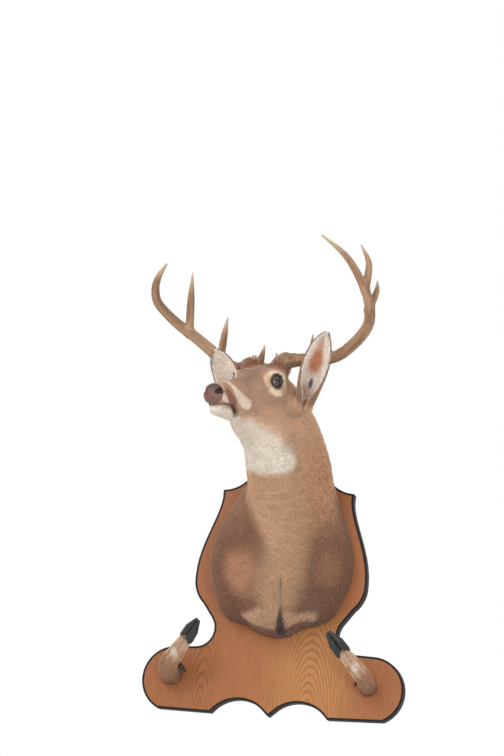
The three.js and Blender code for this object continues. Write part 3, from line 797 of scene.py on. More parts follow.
# A lock's length and width at places along the head.
LOCK_LENGTH = [[-330, 13], [-262, 9.5], [-180, 6], [-100, 4.2], [-20, 2.8]]
LOCK_WIDTH = [[-330, 1.6], [-262, 1.3], [-180, 0.95], [-100, 0.8], [-20, 0.6]]
LOCK_SHADE = np.array([0.9, 0.9, 0.92, 1.0, 1.0, 1.02, 1.07])                  # from root to tip
LOCK_UV = np.array([[0, 0], [1, 0], [0.5, 0], [0.1, 0.5], [0.9, 0.5], [0.5, 0.5], [0.5, 1]])
UV_PATCH = 0.003                       # a lock's size on the flat map
EAR_LOCK = (7.0, 0.9)                  # length and width
OVERLAP = 2.4                          # the locks' area against the skin's
MOST_LOCKS = 19000
LOCK_STRAY, TOUSLED_STRAY = 0.16, 0.7  # how far a lock turns at random from its way, in radians
LOCK_TONES = 0.07                      # how much lighter or darker a lock is at random
LOCK_LENGTHS = (0.7, 1.25)             # the shortest and the longest, against the usual length
PALE_HAIRS, PALE_BELOW = 0.002, 60     # the share of pale locks, and how high up they are found
DOWN_NECK = unit(np.array([0.0, 0.55, -0.83]))
PARTING = 36                           # the hair parts here down the front of the chest


def flattened(way, n):
    """The way laid flat on the surface whose normal is n."""
    return unit(way - dot(way, n)[:, None] * n)


def lie(p, n):
    """The way the hair lies: back over the head, down the neck and chest, and out along the ears."""
    q = to_head(p)
    back = -HEAD[0] - 0.35 * HEAD[2] * (1 - ramp(-20, 60, q[:, 2]))[:, None]
    inwards = -0.25 * np.sign(p[:, 0] - PARTING) * ramp(60, -60, p[:, 2])
    chest = inwards[:, None] * [1, 0, 0] + [0, 0.2, -1]
    low = ramp(160, 60, p[:, 2])[:, None]
    body = DOWN_NECK * (1 - low) + chest * low
    head = ramp(-290, -225, q[:, 0])[:, None]
    way = back * head + body * (1 - head)
    for side in (1, -1):
        root, tip = from_head(EARS[side][0]), from_head(EARS[side][1])
        near = (ear(q, side) < 2)[:, None]
        way = np.where(near, unit(tip - root), way)
    return flattened(way, n)


def scatter(vertices, faces, share):
    """Roots spread over the skin, as many to each face as its share says."""
    pick = np.floor(np.cumsum(share) + rng.random()).astype(int)
    face = np.repeat(np.arange(len(faces)), np.diff(pick, prepend=0))
    corner = vertices[faces[face]]
    s, t = rng.random((2, len(face), 1))
    low = corner[:, 0] * (1 - s) + corner[:, 1] * s
    high = corner[:, 3] * (1 - s) + corner[:, 2] * s
    return face, low * (1 - t) + high * t


def face_areas(vertices, faces):
    a, b, c, d = vertices[faces].transpose(1, 0, 2)
    return norm(np.cross(c - a, d - b)) / 2


def locks(name, roots, n, way, sizes, colour, unwrapped, mat):
    """Three-sided tapering locks, each rooted in the skin and lying along its way."""
    count = len(roots)
    length, width, lift = [np.broadcast_to(size, count)[:, None] for size in sizes]
    side = np.cross(n, way)
    points = np.empty((count, 7, 3))
    rings = ((roots - n * 0.7, 1.0), (roots + way * length * 0.5 + n * lift, 0.85))
    for ring, (centre, size) in enumerate(rings):
        half = side * (width * size / 2)
        points[:, 3 * ring] = centre - half
        points[:, 3 * ring + 1] = centre + half
        points[:, 3 * ring + 2] = centre + n * (width * size * 0.45 + 0.2)
    points[:, 6] = roots + way * length + n * (lift * 0.75)
    colours = np.clip(colour, 0.004, 1)[:, None] * LOCK_SHADE[None, :, None]
    faces = (np.arange(count) * 7)[:, None, None] + LOCK_FACES
    obj = mesh_object(name, points.reshape(-1, 3), faces.reshape(-1, 3), colours=colours.reshape(-1, 3))
    uv = (unwrapped[:, None] + UV_PATCH * LOCK_UV)[:, LOCK_FACES].reshape(-1, 2)
    obj.data.uv_layers.new(name="OFBake").data.foreach_set("uv", uv.astype(np.float32).ravel())
    finish_piece(obj, mat)


def wrap_map(p, centre, axes, low, high):
    """A flat map of a shape: the angle round its axis, and the place along it."""
    local = (p - centre) @ np.array(axes).T
    angle = np.arctan2(local[:, 1], local[:, 2]) / (2 * np.pi) + 0.5
    along = np.clip((local[:, 0] - low) / (high - low), 0, 1)
    return 0.01 + 0.97 * np.stack([angle, along], 1)


def head_map(p):
    return wrap_map(p, from_head([0, 0, 20]), HEAD, -310, 5)


def neck_map(p):
    axis = unit(np.array([0.0, 0.62, -0.78]))
    right = np.array([1.0, 0, 0])
    return wrap_map(p, np.array([20, -180, 250]), [axis, right, np.cross(axis, right)], -190, 190)


def chest_map(p):
    """The chest unrolled about its own middle, from the front outwards."""
    d = unit(p - [MIDLINE, 60, 40])
    out = np.arccos(np.clip(-d[:, 1], -1, 1)) / np.pi
    turn = np.arctan2(d[:, 2], d[:, 0])
    return 0.5 + 0.74 * out[:, None] * np.stack([np.cos(turn), np.sin(turn)], 1)


def ear_map(p):
    """The ear's outside on the map's left half, and its inside on the right half."""
    q = to_head(p)
    places = zip(ear_place(q, 1)[:3], ear_place(q, -1)[:3])
    t, turn, out = [np.where(q[:, 1] > 0, on_left, on_right) for on_left, on_right in places]
    inside = out < -EAR_INSET - EAR_WALL / 2
    u = np.where(inside, 0.75, 0.25) + 0.22 * turn / np.pi
    return np.stack([u, 0.02 + 0.95 * np.clip(t, 0, 1)], 1)


MUZZLE_END, FACE_END, JAW_FOOT = -118, -255, -90    # where the coat's pieces meet on the head


def coat_regions(p, n):
    """The coat's pieces: for each a name, which faces of the skin it grows on, and its flat map."""
    q = to_head(p)
    on_ear = {side: (ear(q, side) < 3) & (ear_place(q, side)[0] > 0.04) for side in (1, -1)}
    rest = ~(on_ear[1] | on_ear[-1]) & (n[:, 1] < 0.95)
    on_neck = past_seam(p) > 0
    f, left = q[:, 0], q[:, 1] > 0
    body = (f <= FACE_END) | (q[:, 2] <= JAW_FOOT)
    muzzle, face = f > MUZZLE_END, (f <= MUZZLE_END) & ~body
    to_left = p[:, 0] > MIDLINE + 20
    return [
        ("coat_ear_left", on_ear[1], ear_map),
        ("coat_ear_right", on_ear[-1], ear_map),
        ("coat_muzzle_left", rest & muzzle & left, head_map),
        ("coat_muzzle_right", rest & muzzle & ~left, head_map),
        ("coat_face_left", rest & face & left, head_map),
        ("coat_face_right", rest & face & ~left, head_map),
        ("coat_neck", rest & body & on_neck, neck_map),
        ("coat_chest_left", rest & body & ~on_neck & to_left, chest_map),
        ("coat_chest_right", rest & body & ~on_neck & ~to_left, chest_map),
    ]


TOUSLED = ([-226, 34, 112], [36, 40, 26])    # the loose hair round the antlers' feet
TOUSLED_LENGTH, TOUSLED_LIFT = 8, 6    # how much longer and higher it is
EAR_LIFT = 0.8
LIDS_CLEAR = 1.5                       # no hair grows nearer to the lids' edges than this


def lock_sizes(p):
    """Length, width and height off the skin of the locks rooted at p, and how tousled they are."""
    q = to_head(p)
    m = mirrored(q)
    length, width = through(LOCK_LENGTH, q[:, 0]), through(LOCK_WIDTH, q[:, 0])
    lift = coat_depth(q) * 0.4
    tousled = 1 - ramp(-8, 8, ellipsoid(m, *TOUSLED))
    length, lift = length + TOUSLED_LENGTH * tousled, lift + TOUSLED_LIFT * tousled
    for side in (1, -1):
        near = ear(q, side) < 3
        ear_lock = EAR_LOCK[0] * (1 - 0.7 * ramp(0.75, 1, ear_place(q, side)[0]))
        length, width = np.where(near, ear_lock, length), np.where(near, EAR_LOCK[1], width)
        lift = np.where(near, EAR_LIFT, lift)
    from_eye = norm(m - EYE_CENTRE) - EYE_RADIUS
    finer = 1 - 0.6 * (1 - ramp(2, 18, from_eye))
    return length * finer, width * finer, lift * finer, tousled


def clear_of_eyes(p):
    q = to_head(p)
    clear = np.ones(len(p), bool)
    for side in (1, -1):
        e = to_eye(q, side)
        clear &= (lid_gap(e) > LIDS_CLEAR) | (e[:, 0] < 0)
    return clear


def grow_coat(vertices, faces, directions):
    """The coat's pieces, as many locks to each as its area asks for."""
    mat = fur_material("coat", 0.7)
    middles = vertices[faces].mean(1)
    facing = unit(directions[faces].mean(1))
    length, width, _, _ = lock_sizes(middles)
    share = face_areas(vertices, faces) * OVERLAP / (length * width) * clear_of_eyes(middles)
    for name, own, unwrap in coat_regions(middles, facing):
        part = share * own
        face, roots = scatter(vertices, faces, part * min(1, MOST_LOCKS / part.sum()))
        n = facing[face]
        length, width, lift, tousled = lock_sizes(roots)
        count = len(roots)
        way = lie(roots, n)
        turn = rng.normal(0, LOCK_STRAY, count) + tousled * rng.normal(0, TOUSLED_STRAY, count)
        way = way * np.cos(turn)[:, None] + np.cross(n, way) * np.sin(turn)[:, None]
        colour = coat_colour(roots) * (1 + LOCK_TONES * rng.normal(0, 1, count))[:, None]
        loose = (rng.random(count) < PALE_HAIRS) & (roots[:, 2] < PALE_BELOW)
        colour[loose] = 0.5 * colour[loose] + 0.5 * PALE
        sizes = (length * rng.uniform(*LOCK_LENGTHS, count), width, lift)
        locks(name, roots, n, way, sizes, colour, unwrap(roots), mat)


# ---- faces between rings of vertices ----
def ring_faces(rings, sides, closed=False):
    """Quads between rings of vertices that follow each other."""
    r, k = np.meshgrid(np.arange(rings if closed else rings - 1), np.arange(sides), indexing="ij")
    r, k = r.ravel(), k.ravel()
    after, beside = (r + 1) % rings, (k + 1) % sides
    return np.stack([r * sides + k, r * sides + beside, after * sides + beside, after * sides + k], 1)


def fan_faces(first, sides, pole, flip):
    """Triangles between a ring, from its first vertex on, and a pole."""
    k = np.arange(sides)
    fan = np.stack([first + k, first + (k + 1) % sides, np.full(sides, pole)], 1)
    return fan[:, ::-1] if flip else fan


# ---- eyes ----
PUPIL = (8.5, 5.0)                     # half length and half height
IRIS = 13.0
EYE_DARK, EYE_BROWN, EYE_BLACK = srgb(28, 18, 12), srgb(62, 39, 26), srgb(3, 3, 3)
BALL_RINGS, BALL_SIDES = 30, 48
LID_RIM = {"above": 0.9, "thick": 1.1, "wide": 2.1, "corner": 0.16, "pieces": 56, "sides": 10}
LASHES = 60
LASH_COLOUR = srgb(34, 24, 20)
RIM_LIMIT = 270                        # beyond this squared distance across, the rim sinks no further


def build_eye(name, side):
    """A glass ball with an iris and an oval pupil painted on it."""
    centre, axes = eye_frame(side)
    polar = np.linspace(0, np.pi, BALL_RINGS + 2)[1:-1]
    turn = np.linspace(0, 2 * np.pi, BALL_SIDES, endpoint=False)
    a, b = np.meshgrid(polar, turn, indexing="ij")
    local = np.stack([np.cos(a), np.sin(a) * np.cos(b), np.sin(a) * np.sin(b)], -1).reshape(-1, 3)
    points = np.vstack([local, [1, 0, 0], [-1, 0, 0]]) * EYE_RADIUS
    paint = Paint(len(points), EYE_DARK)
    paint.over(EYE_BROWN, np.hypot(points[:, 1], points[:, 2]) / IRIS - 1, 0.3)
    paint.over(EYE_BLACK, np.hypot(points[:, 1] / PUPIL[0], points[:, 2] / PUPIL[1]) - 1, 0.25)
    pole = BALL_RINGS * BALL_SIDES
    faces = (ring_faces(BALL_RINGS, BALL_SIDES), fan_faces(0, BALL_SIDES, pole, True),
             fan_faces(pole - BALL_SIDES, BALL_SIDES, pole + 1, False))
    vertices = from_head(centre + points @ axes)
    obj = mesh_object(f"glass_eye_{name}", vertices, *[f[:, ::side] for f in faces], colours=paint.colour)
    mat = material(f"glass_{name}", Roughness=0.04, IOR=1.7)
    link(mat, painted(mat), "Base Color")
    finish_piece(obj, mat, [f"eye_{name}"])


def on_ball(edge, above):
    """Points in the eye's own frame, a little above the ball, from their places across it."""
    squares = (edge ** 2).sum(1)
    return np.column_stack([np.sqrt((EYE_RADIUS + above) ** 2 - np.minimum(squares, RIM_LIMIT)), edge])


def build_lid_rim(name, side, mat):
    """The dark bare edge of the lids, as a ring pressed onto the eyeball."""
    centre, axes = eye_frame(side)
    long, high = LID_OPENING[0] + 0.6, LID_OPENING[1] + 0.6
    turn = np.linspace(0, 2 * np.pi, LID_RIM["pieces"], endpoint=False)
    corner = 1 + sum(LID_RIM["corner"] * np.exp(-((turn - at) / 0.35) ** 2) for at in (0, 2 * np.pi))
    edge = np.stack([long * np.cos(turn) * corner, high * np.sin(turn)], 1)
    path = on_ball(edge, LID_RIM["above"])
    normal = unit(path)[:, None]
    beside = np.cross(unit(np.roll(path, -1, 0) - np.roll(path, 1, 0))[:, None], normal)
    spin = np.linspace(0, 2 * np.pi, LID_RIM["sides"], endpoint=False)[None, :, None]
    up, across = LID_RIM["thick"] * np.cos(spin), LID_RIM["wide"] * np.sin(spin)
    ring = path[:, None] + up * normal + across * beside
    faces = ring_faces(LID_RIM["pieces"], LID_RIM["sides"], closed=True)[:, ::side]
    rim = mesh_object(f"eyelid_rim_{name}", from_head(centre + ring.reshape(-1, 3) @ axes), faces)
    finish_piece(rim, mat)


def build_lashes(name, side, mat):
    """Dark lashes fanned out from the upper lid."""
    centre, axes = eye_frame(side)
    turn = rng.uniform(-0.2, 0.8 * math.pi, LASHES)
    ring = np.stack([np.cos(turn), np.sin(turn)], 1)
    roots = from_head(centre + on_ball(ring * (np.array(LID_OPENING) + 1.6), 1.5) @ axes)
    way = np.column_stack([np.full(LASHES, 0.7), ring + rng.normal(0, 0.12, ring.shape)])
    way = unit(way @ axes @ HEAD)
    n = flattened(np.tile(axes[0] @ HEAD, (LASHES, 1)), way)
    sizes = (rng.uniform(5, 8, LASHES), 0.6, 0.6)
    colour = np.tile(LASH_COLOUR, (LASHES, 1))
    locks(f"lashes_{name}", roots, n, way, sizes, colour, head_map(roots), mat)


# ---- antlers ----
ANTLERS = {
    "left": {
        "beam": ([[-229, 35, 88], [-231, 38, 110], [-250, 80, 120], [-278, 134, 130], [-275, 167, 143],
                  [-235, 239, 186], [-208, 260, 212], [-186, 265, 239], [-165, 259, 270], [-125, 232, 326],
                  [-78, 194, 362]], [16, 16, 14.5, 13.5, 13, 12.5, 12, 11, 9.5, 7, 2]),
        "tines": [
            ([[-224, 33, 104], [-214, 28, 128]], [8, 2]),
            ([[-262, 98, 122], [-252, 97, 142], [-235, 106, 176]], [7, 6, 1.5]),
            ([[-200, 258, 222], [-202, 268, 245], [-209, 271, 268], [-215, 267, 290]], [9, 8, 6, 1.5]),
            ([[-171, 262, 262], [-172, 265, 288], [-182, 259, 325], [-195, 228, 369]], [9, 8.5, 6.5, 1.5]),
        ],
    },
    "right": {
        "beam": ([[-229, -35, 88], [-236, -48, 100], [-252, -91, 99], [-262, -135, 116], [-266, -185, 150],
                  [-262, -224, 177], [-248, -263, 203], [-225, -289, 229], [-200, -298, 249],
                  [-172, -288, 272], [-138, -260, 292], [-100, -215, 313]],
                 [16, 16, 14.5, 14, 13.5, 13, 12, 11, 10.5, 9.5, 7.5, 2]),
        "tines": [([[-226, -20, 96], [-218, -11, 120], [-210, -1, 146]], [9, 7, 1.5]),
                  ([[-262, -147, 134], [-250, -136, 178], [-238, -124, 218]], [9, 7.5, 1.5]),
                  ([[-258, -238, 184], [-238, -230, 260], [-215, -218, 319]], [10, 8.5, 1.5])],
    },
}
ANTLER_NODES = {
    "left": ["beam_base", "beam_middle", "beam_upper", "beam_end", "brow_tine", "second_tine", "third_tine",
             "fourth_tine"],
    "right": ["beam_base", "beam_middle", "beam_upper", "brow_tine", "second_tine", "third_tine"],
}
BURR = (16.5, 20.5, 16.5)              # radius at its edges and at its middle
BURR_AT = {"left": [9, 12, 15], "right": [8, 11, 14]}    # their places, in hundredths of the beam
ANTLER_STEP, ANTLER_MARGIN = 2.4, 26
GRAIN_SIZE, PEARL_SIZE = 5.0, 7.5
ANTLER_DARK = srgb(108, 76, 53)
ANTLER_BROWN = srgb(154, 118, 86)
ANTLER_TIP = srgb(208, 182, 152)


def pearls(p, size):
    """Small round bumps, from 0 between them to 1 on top."""
    away = np.array([noise.voronoi(Vector(point / size))[0][0] for point in p])
    return 1 - ramp(0, 0.6, away)


def ridges(p, size):
    return np.array([noise.noise(Vector(point / size)) for point in p])


def on_path(p, path):
    """How far along a path each point lies, and the path's nearest point to it."""
    nearest, along, away = np.zeros_like(p), np.zeros(len(p)), np.full(len(p), np.inf)
    passed = 0.0
    for a, b in zip(path, path[1:]):
        length = norm(b - a)
        t = np.clip((p - a) @ (b - a) / length ** 2, 0, 1)
        point = a + t[:, None] * (b - a)
        gap = norm(p - point)
        closer = gap < away
        nearest[closer], away[closer] = point[closer], gap[closer]
        along[closer] = passed + t[closer] * length
        passed += length
    return along, nearest


def nearest_axis(p, branches):
    """The nearest point to each point on any of the branches' middle lines."""
    feet = np.array([on_path(p, path)[1] for path in branches])
    which = np.argmin(norm(feet - p), 0)
    return feet[which, np.arange(len(p))]


def antler_field(branches, burr):
    def field(p):
        d = chain(p, *branches[0])
        for tine in branches[1:]:
            d = soft_min(d, chain(p, *tine), 7)
        return soft_min(d, chain(p, burr, BURR), 2)

    return field


def antler_relief(p, paths, along, to_tip, burr):
    """The grain, and how far it and the pearls stand out: most at the burr, least at the tips."""
    rough = (1 - ramp(60, 330, along)) * ramp(10, 60, to_tip)
    grain = ridges(p - 0.93 * nearest_axis(p, paths), GRAIN_SIZE)
    at_burr = 1 - ramp(12, 20, norm(p - burr[1]) - 10)
    ridged = grain * (0.25 + 0.7 * rough) * ramp(15, 80, to_tip)
    return grain, ridged + pearls(p, PEARL_SIZE) * (1.1 * rough + 2.2 * at_burr)


def build_antler(name, mat):
    """A beam with its tines and burr: brown, dark in the furrows and at the foot, pale at the tips."""
    beam_points, beam_radii = ANTLERS[name]["beam"]
    branches = [spine(from_head(beam_points), beam_radii, 44)]
    branches += [spine(from_head(points), radii, 9) for points, radii in ANTLERS[name]["tines"]]
    paths = [path for path, _ in branches]
    burr = smooth_path(from_head(beam_points), 101)[BURR_AT[name]]
    field = antler_field(branches, burr)
    vertices, faces = settled_surface(field, even_grid(np.vstack(paths), ANTLER_MARGIN, ANTLER_STEP))
    along, _ = on_path(vertices, paths[0])
    to_tips = [norm(vertices - path[-1]) for path in paths]
    pale_lengths = [min(70, 0.35 * norm(path[-1] - path[0])) for path in paths]
    pale = np.min([away / length for away, length in zip(to_tips, pale_lengths)], 0)
    grain, rise = antler_relief(vertices, paths, along, np.min(to_tips, 0), burr)
    vertices = vertices + normals(field, vertices) * rise[:, None]
    paint = Paint(len(vertices), ANTLER_BROWN)
    paint.over(ANTLER_DARK, along - 60, 160, 0.55)
    paint.over(ANTLER_DARK, grain * 3, 1.2, 0.65)
    paint.over(ANTLER_TIP, pale - 0.7, 1.0, 0.55)
    obj = mesh_object(f"antler_{name}", vertices, faces, colours=paint.colour)
    finish_piece(obj, mat, [f"antler_{name}_{part}" for part in ANTLER_NODES[name]])


def antler_material():
    mat = material("antler", Roughness=0.5)
    streaks = noise_node(mat, place(mat), 260, 6.0, 0.6)
    tone = ramp_node(mat, streaks, (0.3, grey(0.78)), (0.65, grey(1.1)))
    link(mat, mix(mat, 1.0, painted(mat), tone, "MULTIPLY"), "Base Color")
    bump(mat, streaks, 0.0007, 0.6)
    return mat


# ---- forefeet ----
LEG_PATH = {
    "left": [[226, -10, -222], [229, -48, -221], [226, -75, -209], [207, -92, -186], [185, -114, -162]],
    "right": [[234, -10, -230], [236, -50, -228], [231, -76, -213], [208, -92, -187], [185, -114, -162]],
}
LEG_RADII = {"left": [17, 18, 19, 18, 14.5], "right": [24, 23.5, 22, 19, 14.5]}
HOOF_TIP = [153, -143, -124]
TOE = {"radius": 9.8, "apart": 7.8, "tip": 4.5, "closing": 0.4, "bulge": 0.25, "start": 6, "middle": 0.45}
SOLE_BELOW, TOE_GAP = 8.5, 0.4
DEWCLAW = {"left": ([215, -63, -206], [207, -49, -216]), "right": ([212, -66, -210], [202, -56, -221])}
DEWCLAW_RADII = (5.6, 3)
FOOT_LIFT = {"left": -7, "right": 7}
LEG_COAT = 1.2
LEG_LOCK_AREA = 7.0
LEG_LOCK = {"lengths": (5, 9), "width": 1.1, "lift": 0.8, "tones": 0.1}
LEG_STEP, LEG_MARGIN = 2.2, 30
HOOF_STEP, HOOF_MARGIN = 1.3, 16
LEG_BROWN = srgb(170, 126, 96)
LEG_SHADE = srgb(140, 96, 72)
LEG_CREAM = srgb(214, 184, 156)


class Foot:
    """A forefoot's places, the way it points, and its leg and hoof as fields."""

    def __init__(self, name, side):
        self.name, self.side = name, side
        self.path = [self.at(point) for point in LEG_PATH[name]]
        self.ankle, self.tip = self.path[-1], self.at(HOOF_TIP)
        self.dewclaw = [self.at(point) for point in DEWCLAW[name]]
        self.along = unit(self.tip - self.ankle)
        self.spread = unit(np.cross([0, 1, 0], self.along))
        sole = np.cross(self.along, self.spread)
        self.sole = sole * np.sign(sole[1])

    def at(self, point):
        x, y, z = point
        return np.array([self.side * x, y, z + FOOT_LIFT[self.name]], float)

    def leg(self, p):
        radii = np.array(LEG_RADII[self.name]) - LEG_COAT
        return np.maximum(chain(p, *spine(self.path, radii, 18)), p[:, 1] + BOARD_THICK)

    def toe(self, p, sign):
        back = self.ankle + self.along * TOE["start"] + self.spread * TOE["apart"] * sign
        point = self.tip + self.spread * TOE["apart"] * TOE["closing"] * sign
        middle = back + (point - back) * TOE["middle"]
        middle = middle + self.spread * TOE["apart"] * TOE["bulge"] * sign
        horn = chain(p, [back, middle, point], [TOE["radius"] + 0.6, TOE["radius"], TOE["tip"]])
        horn = soft_max(horn, (p - self.ankle) @ self.sole - SOLE_BELOW, 4)
        return soft_max(horn, TOE_GAP - (p - self.ankle) @ self.spread * sign, 0.8)

    def hoof(self, p):
        parts = [self.toe(p, sign) for sign in (1, -1)]
        for sign in (1, -1):
            root, end = [place + self.spread * TOE["apart"] * sign for place in self.dewclaw]
            parts.append(cone(p, root, end, *DEWCLAW_RADII))
        return np.minimum.reduce(parts)


def leg_colour(p, foot):
    """Brown, with painted shade darker towards the plaque; cream streaked with brown over the fetlock and
    down to the hoof.
    """
    across, down = (p - foot.ankle) @ foot.spread, (p - foot.ankle) @ foot.along
    up = (foot.ankle - p) @ foot.along
    paint = Paint(len(p), LEG_BROWN)
    # painted shade: darker towards the plaque
    paint.over(LEG_SHADE, -p[:, 1] - 48, 40, 0.7)
    wobble = 3 * np.sin(0.45 * across) + 4 * np.sin(0.16 * down + 1)
    paint.over(LEG_CREAM, chain(p, foot.path[2:], [13, 19, 20]) + wobble, 12, 0.75)
    paint.over(LEG_BROWN, np.maximum(np.abs(across - 3) - 1.5, up - 34), 4, 0.7)
    paint.over(WHITE, ellipsoid(p, foot.path[3] - 14 * foot.sole, [9, 12, 12]), 8, 0.7)
    paint.over(DARK, up + 2, 5, 0.5)
    return paint.colour


def build_leg(foot):
    vertices, faces = settled_surface(foot.leg, even_grid(np.array(foot.path), LEG_MARGIN, LEG_STEP))
    # painted shade: the leg's skin under the hair darker than the hair
    colours = leg_colour(vertices, foot) * SHADE_UNDER_HAIR
    obj = mesh_object(f"leg_skin_{foot.name}", vertices, faces, colours=colours)
    finish_piece(obj, fur_material("leg_hide"), [f"leg_{foot.name}"])
    facing = unit(normals(foot.leg, vertices)[faces].mean(1))
    share = face_areas(vertices, faces) * OVERLAP / LEG_LOCK_AREA * (facing[:, 1] < 0.9)
    face, roots = scatter(vertices, faces, share)
    grow_leg_coat(foot, roots, facing[face])


def grow_leg_coat(foot, roots, n):
    count, steps = len(roots), smooth_path(foot.path, 40)
    nearest = np.argmin(norm(roots[:, None] - steps), 1)
    way = flattened(unit(np.gradient(steps, axis=0))[nearest], n)
    colour = leg_colour(roots, foot) * (1 + LEG_LOCK["tones"] * rng.normal(0, 1, count))[:, None]
    turn = np.arctan2(n[:, 0], n[:, 2]) / (2 * np.pi) + 0.5
    unwrapped = 0.01 + 0.97 * np.stack([turn, nearest / len(steps)], 1)
    sizes = (rng.uniform(*LEG_LOCK["lengths"], count), LEG_LOCK["width"], LEG_LOCK["lift"])
    locks(f"coat_leg_{foot.name}", roots, n, way, sizes, colour, unwrapped, fur_material("leg_coat", 0.7))


def build_hoof(foot, mat):
    ends = np.array([foot.ankle - 20 * foot.along, foot.tip, *foot.dewclaw])
    vertices, faces = settled_surface(foot.hoof, even_grid(ends, HOOF_MARGIN, HOOF_STEP))
    obj = mesh_object(f"hoof_{foot.name}", vertices, faces)
    nodes = [f"{part}_{foot.name}_{toe}" for part in ("hoof", "dewclaw") for toe in ("outer", "inner")]
    finish_piece(obj, mat, nodes, normals(foot.hoof, vertices))


def hoof_material():
    mat = material("hoof_horn", Roughness=0.32)
    streaks = noise_node(mat, place(mat), 180, 4.0)
    link(mat, ramp_node(mat, streaks, (0.35, srgb(10, 10, 12)), (0.7, srgb(36, 34, 36))), "Base Color")
    bump(mat, streaks, 0.0005, 0.5)
    return mat


# ---- plaque ----
QUARTER = math.pi / 2
ARCS = {                               # middle, radius, first and last angle, pieces
    "dome": (0, 184, 116, QUARTER, 0.785),
    "hollow": (159, 296, 83, math.pi + 0.45, 3 * QUARTER - 0.08),
    "shoulder": (128, 2, 71, 0, -0.85),
    "waist": (189, -113, 48, 2.55, 4.712),
    "lobe": (231.5, -234, 71, QUARTER, -1.12, 20),
    "foot": (70, -355, 88, 0.67, 2.21),
}
FLANK = [[152.2, 213.3], [147, 160], [199, 90], [199, 12]]    # a cubic curve's ends and handles
LOBE_TOP, POINT = [231.5, -163], [0, -300]
BEVEL = [                              # the edge's steps: outwards, and back from the front
    (BOARD_TRIM, BOARD_THICK), (BOARD_TRIM, 1.3), (BOARD_TRIM - 1.2, 0.1), (0.5, 0.1), (0.0, 0.5),
]


def arc(x, z, radius, start, end, count=12):
    turn = np.linspace(start, end, count + 1)
    return np.stack([x + radius * np.cos(turn), z + radius * np.sin(turn)], 1)


def plaque_half():
    """The right half's outline, from the top middle to the bottom point."""
    t = np.linspace(0, 1, 13)[:, None]
    ends = [np.array(end, float) for end in FLANK]
    weights = [c * t ** i * (1 - t) ** (3 - i) for i, c in enumerate((1, 3, 3, 1))]
    flank = sum(weight * end for weight, end in zip(weights, ends))
    arcs = {name: arc(*sizes) for name, sizes in ARCS.items()}
    return np.vstack([arcs["dome"], arcs["hollow"], flank, arcs["shoulder"], arcs["waist"], [LOBE_TOP],
                      arcs["lobe"], arcs["foot"], [POINT]])


def outset(points, by):
    """A closed outline moved outwards."""
    a = unit(points - np.roll(points, 1, 0))
    b = unit(np.roll(points, -1, 0) - points)
    mean = unit(a + b)
    stretch = np.minimum(by / np.maximum((mean * a).sum(1), 0.5), 1.6 * by)
    return points + np.stack([-mean[:, 1], mean[:, 0]], 1) * stretch[:, None]


def plaque_outline():
    right = plaque_half()
    keep = [0]
    for i in range(1, len(right)):
        if norm(right[i] - right[keep[-1]]) > 2:
            keep.append(i)
    right = right[keep]
    return np.vstack([right, right[-2:0:-1] * [-1, 1]])


def build_plaque():
    outline = plaque_outline()
    count = len(outline)
    layers = []
    for out, back in BEVEL:
        x, z = outset(outline, out).T
        layers.append(np.stack([x, np.full(count, back - BOARD_THICK), z], 1))
    edge = mesh_object("plaque_edge", np.vstack(layers), ring_faces(len(BEVEL), count))
    edge.data.polygons.foreach_set("use_smooth", np.zeros(len(edge.data.polygons), bool))
    mat = material("black_edge", Roughness=0.6, Specular_IOR_Level=0.2)
    speckle = noise_node(mat, place(mat), 90)
    link(mat, ramp_node(mat, speckle, (0.3, srgb(16, 15, 15)), (0.7, srgb(32, 29, 28))), "Base Color")
    finish_piece(edge, mat)
    mesh = bpy.data.meshes.new("plaque_veneer")
    front, back = list(range(count)), list(range(2 * count - 1, count - 1, -1))
    mesh.from_pydata((np.vstack([layers[-1], layers[0]]) * MM).tolist(), [], [front, back])
    finish_piece(add_object("plaque_veneer", mesh), veneer_material(), ["plaque"])


FIGURES = [                            # arched figures: middle, height of the foot, and steepness
    {"x": 0.09, "foot": -0.30, "steep": 0.3, "rings": 56.0},
    {"x": -0.165, "foot": -0.31, "steep": 0.2, "rings": 50.0},
]


RING_WOBBLE = {"Distortion": 0.8, "Detail": 2.0, "Detail Scale": 2.0}
# Where the figures show, as slopes and offsets that are clamped to between 0 and 1.
BELOW, TO_RIGHT, TO_LEFT = (-14.0, -0.6), (-16.0, 2.0), (-16.0, -1.7)
WOOD_DARK, WOOD_GOLD = srgb(150, 93, 56), srgb(166, 112, 66)


def arithmetic(mat, operation, *values, clamp=False):
    inputs = dict(enumerate(values))
    return node(mat, "Math", inputs, operation=operation, use_clamp=clamp).outputs[0]


def growth_rings(mat, x, z, wander, figure):
    """The arches that a board cut at a slant through a trunk shows."""
    across = arithmetic(mat, "SUBTRACT", arithmetic(mat, "ADD", x, wander), figure["x"])
    deep = arithmetic(mat, "MULTIPLY", arithmetic(mat, "SUBTRACT", z, figure["foot"]), figure["steep"])
    point = node(mat, "CombineXYZ", {"X": across, "Y": deep, "Z": 0.0}).outputs[0]
    inputs = {"Vector": point, "Scale": figure["rings"]} | RING_WOBBLE
    rings = node(mat, "TexWave", inputs, wave_type="RINGS", rings_direction="Z").outputs["Fac"]
    return ramp_node(mat, rings, (0.0, grey(0.74)), (0.4, grey(1.0)), (1.0, grey(1.08)))


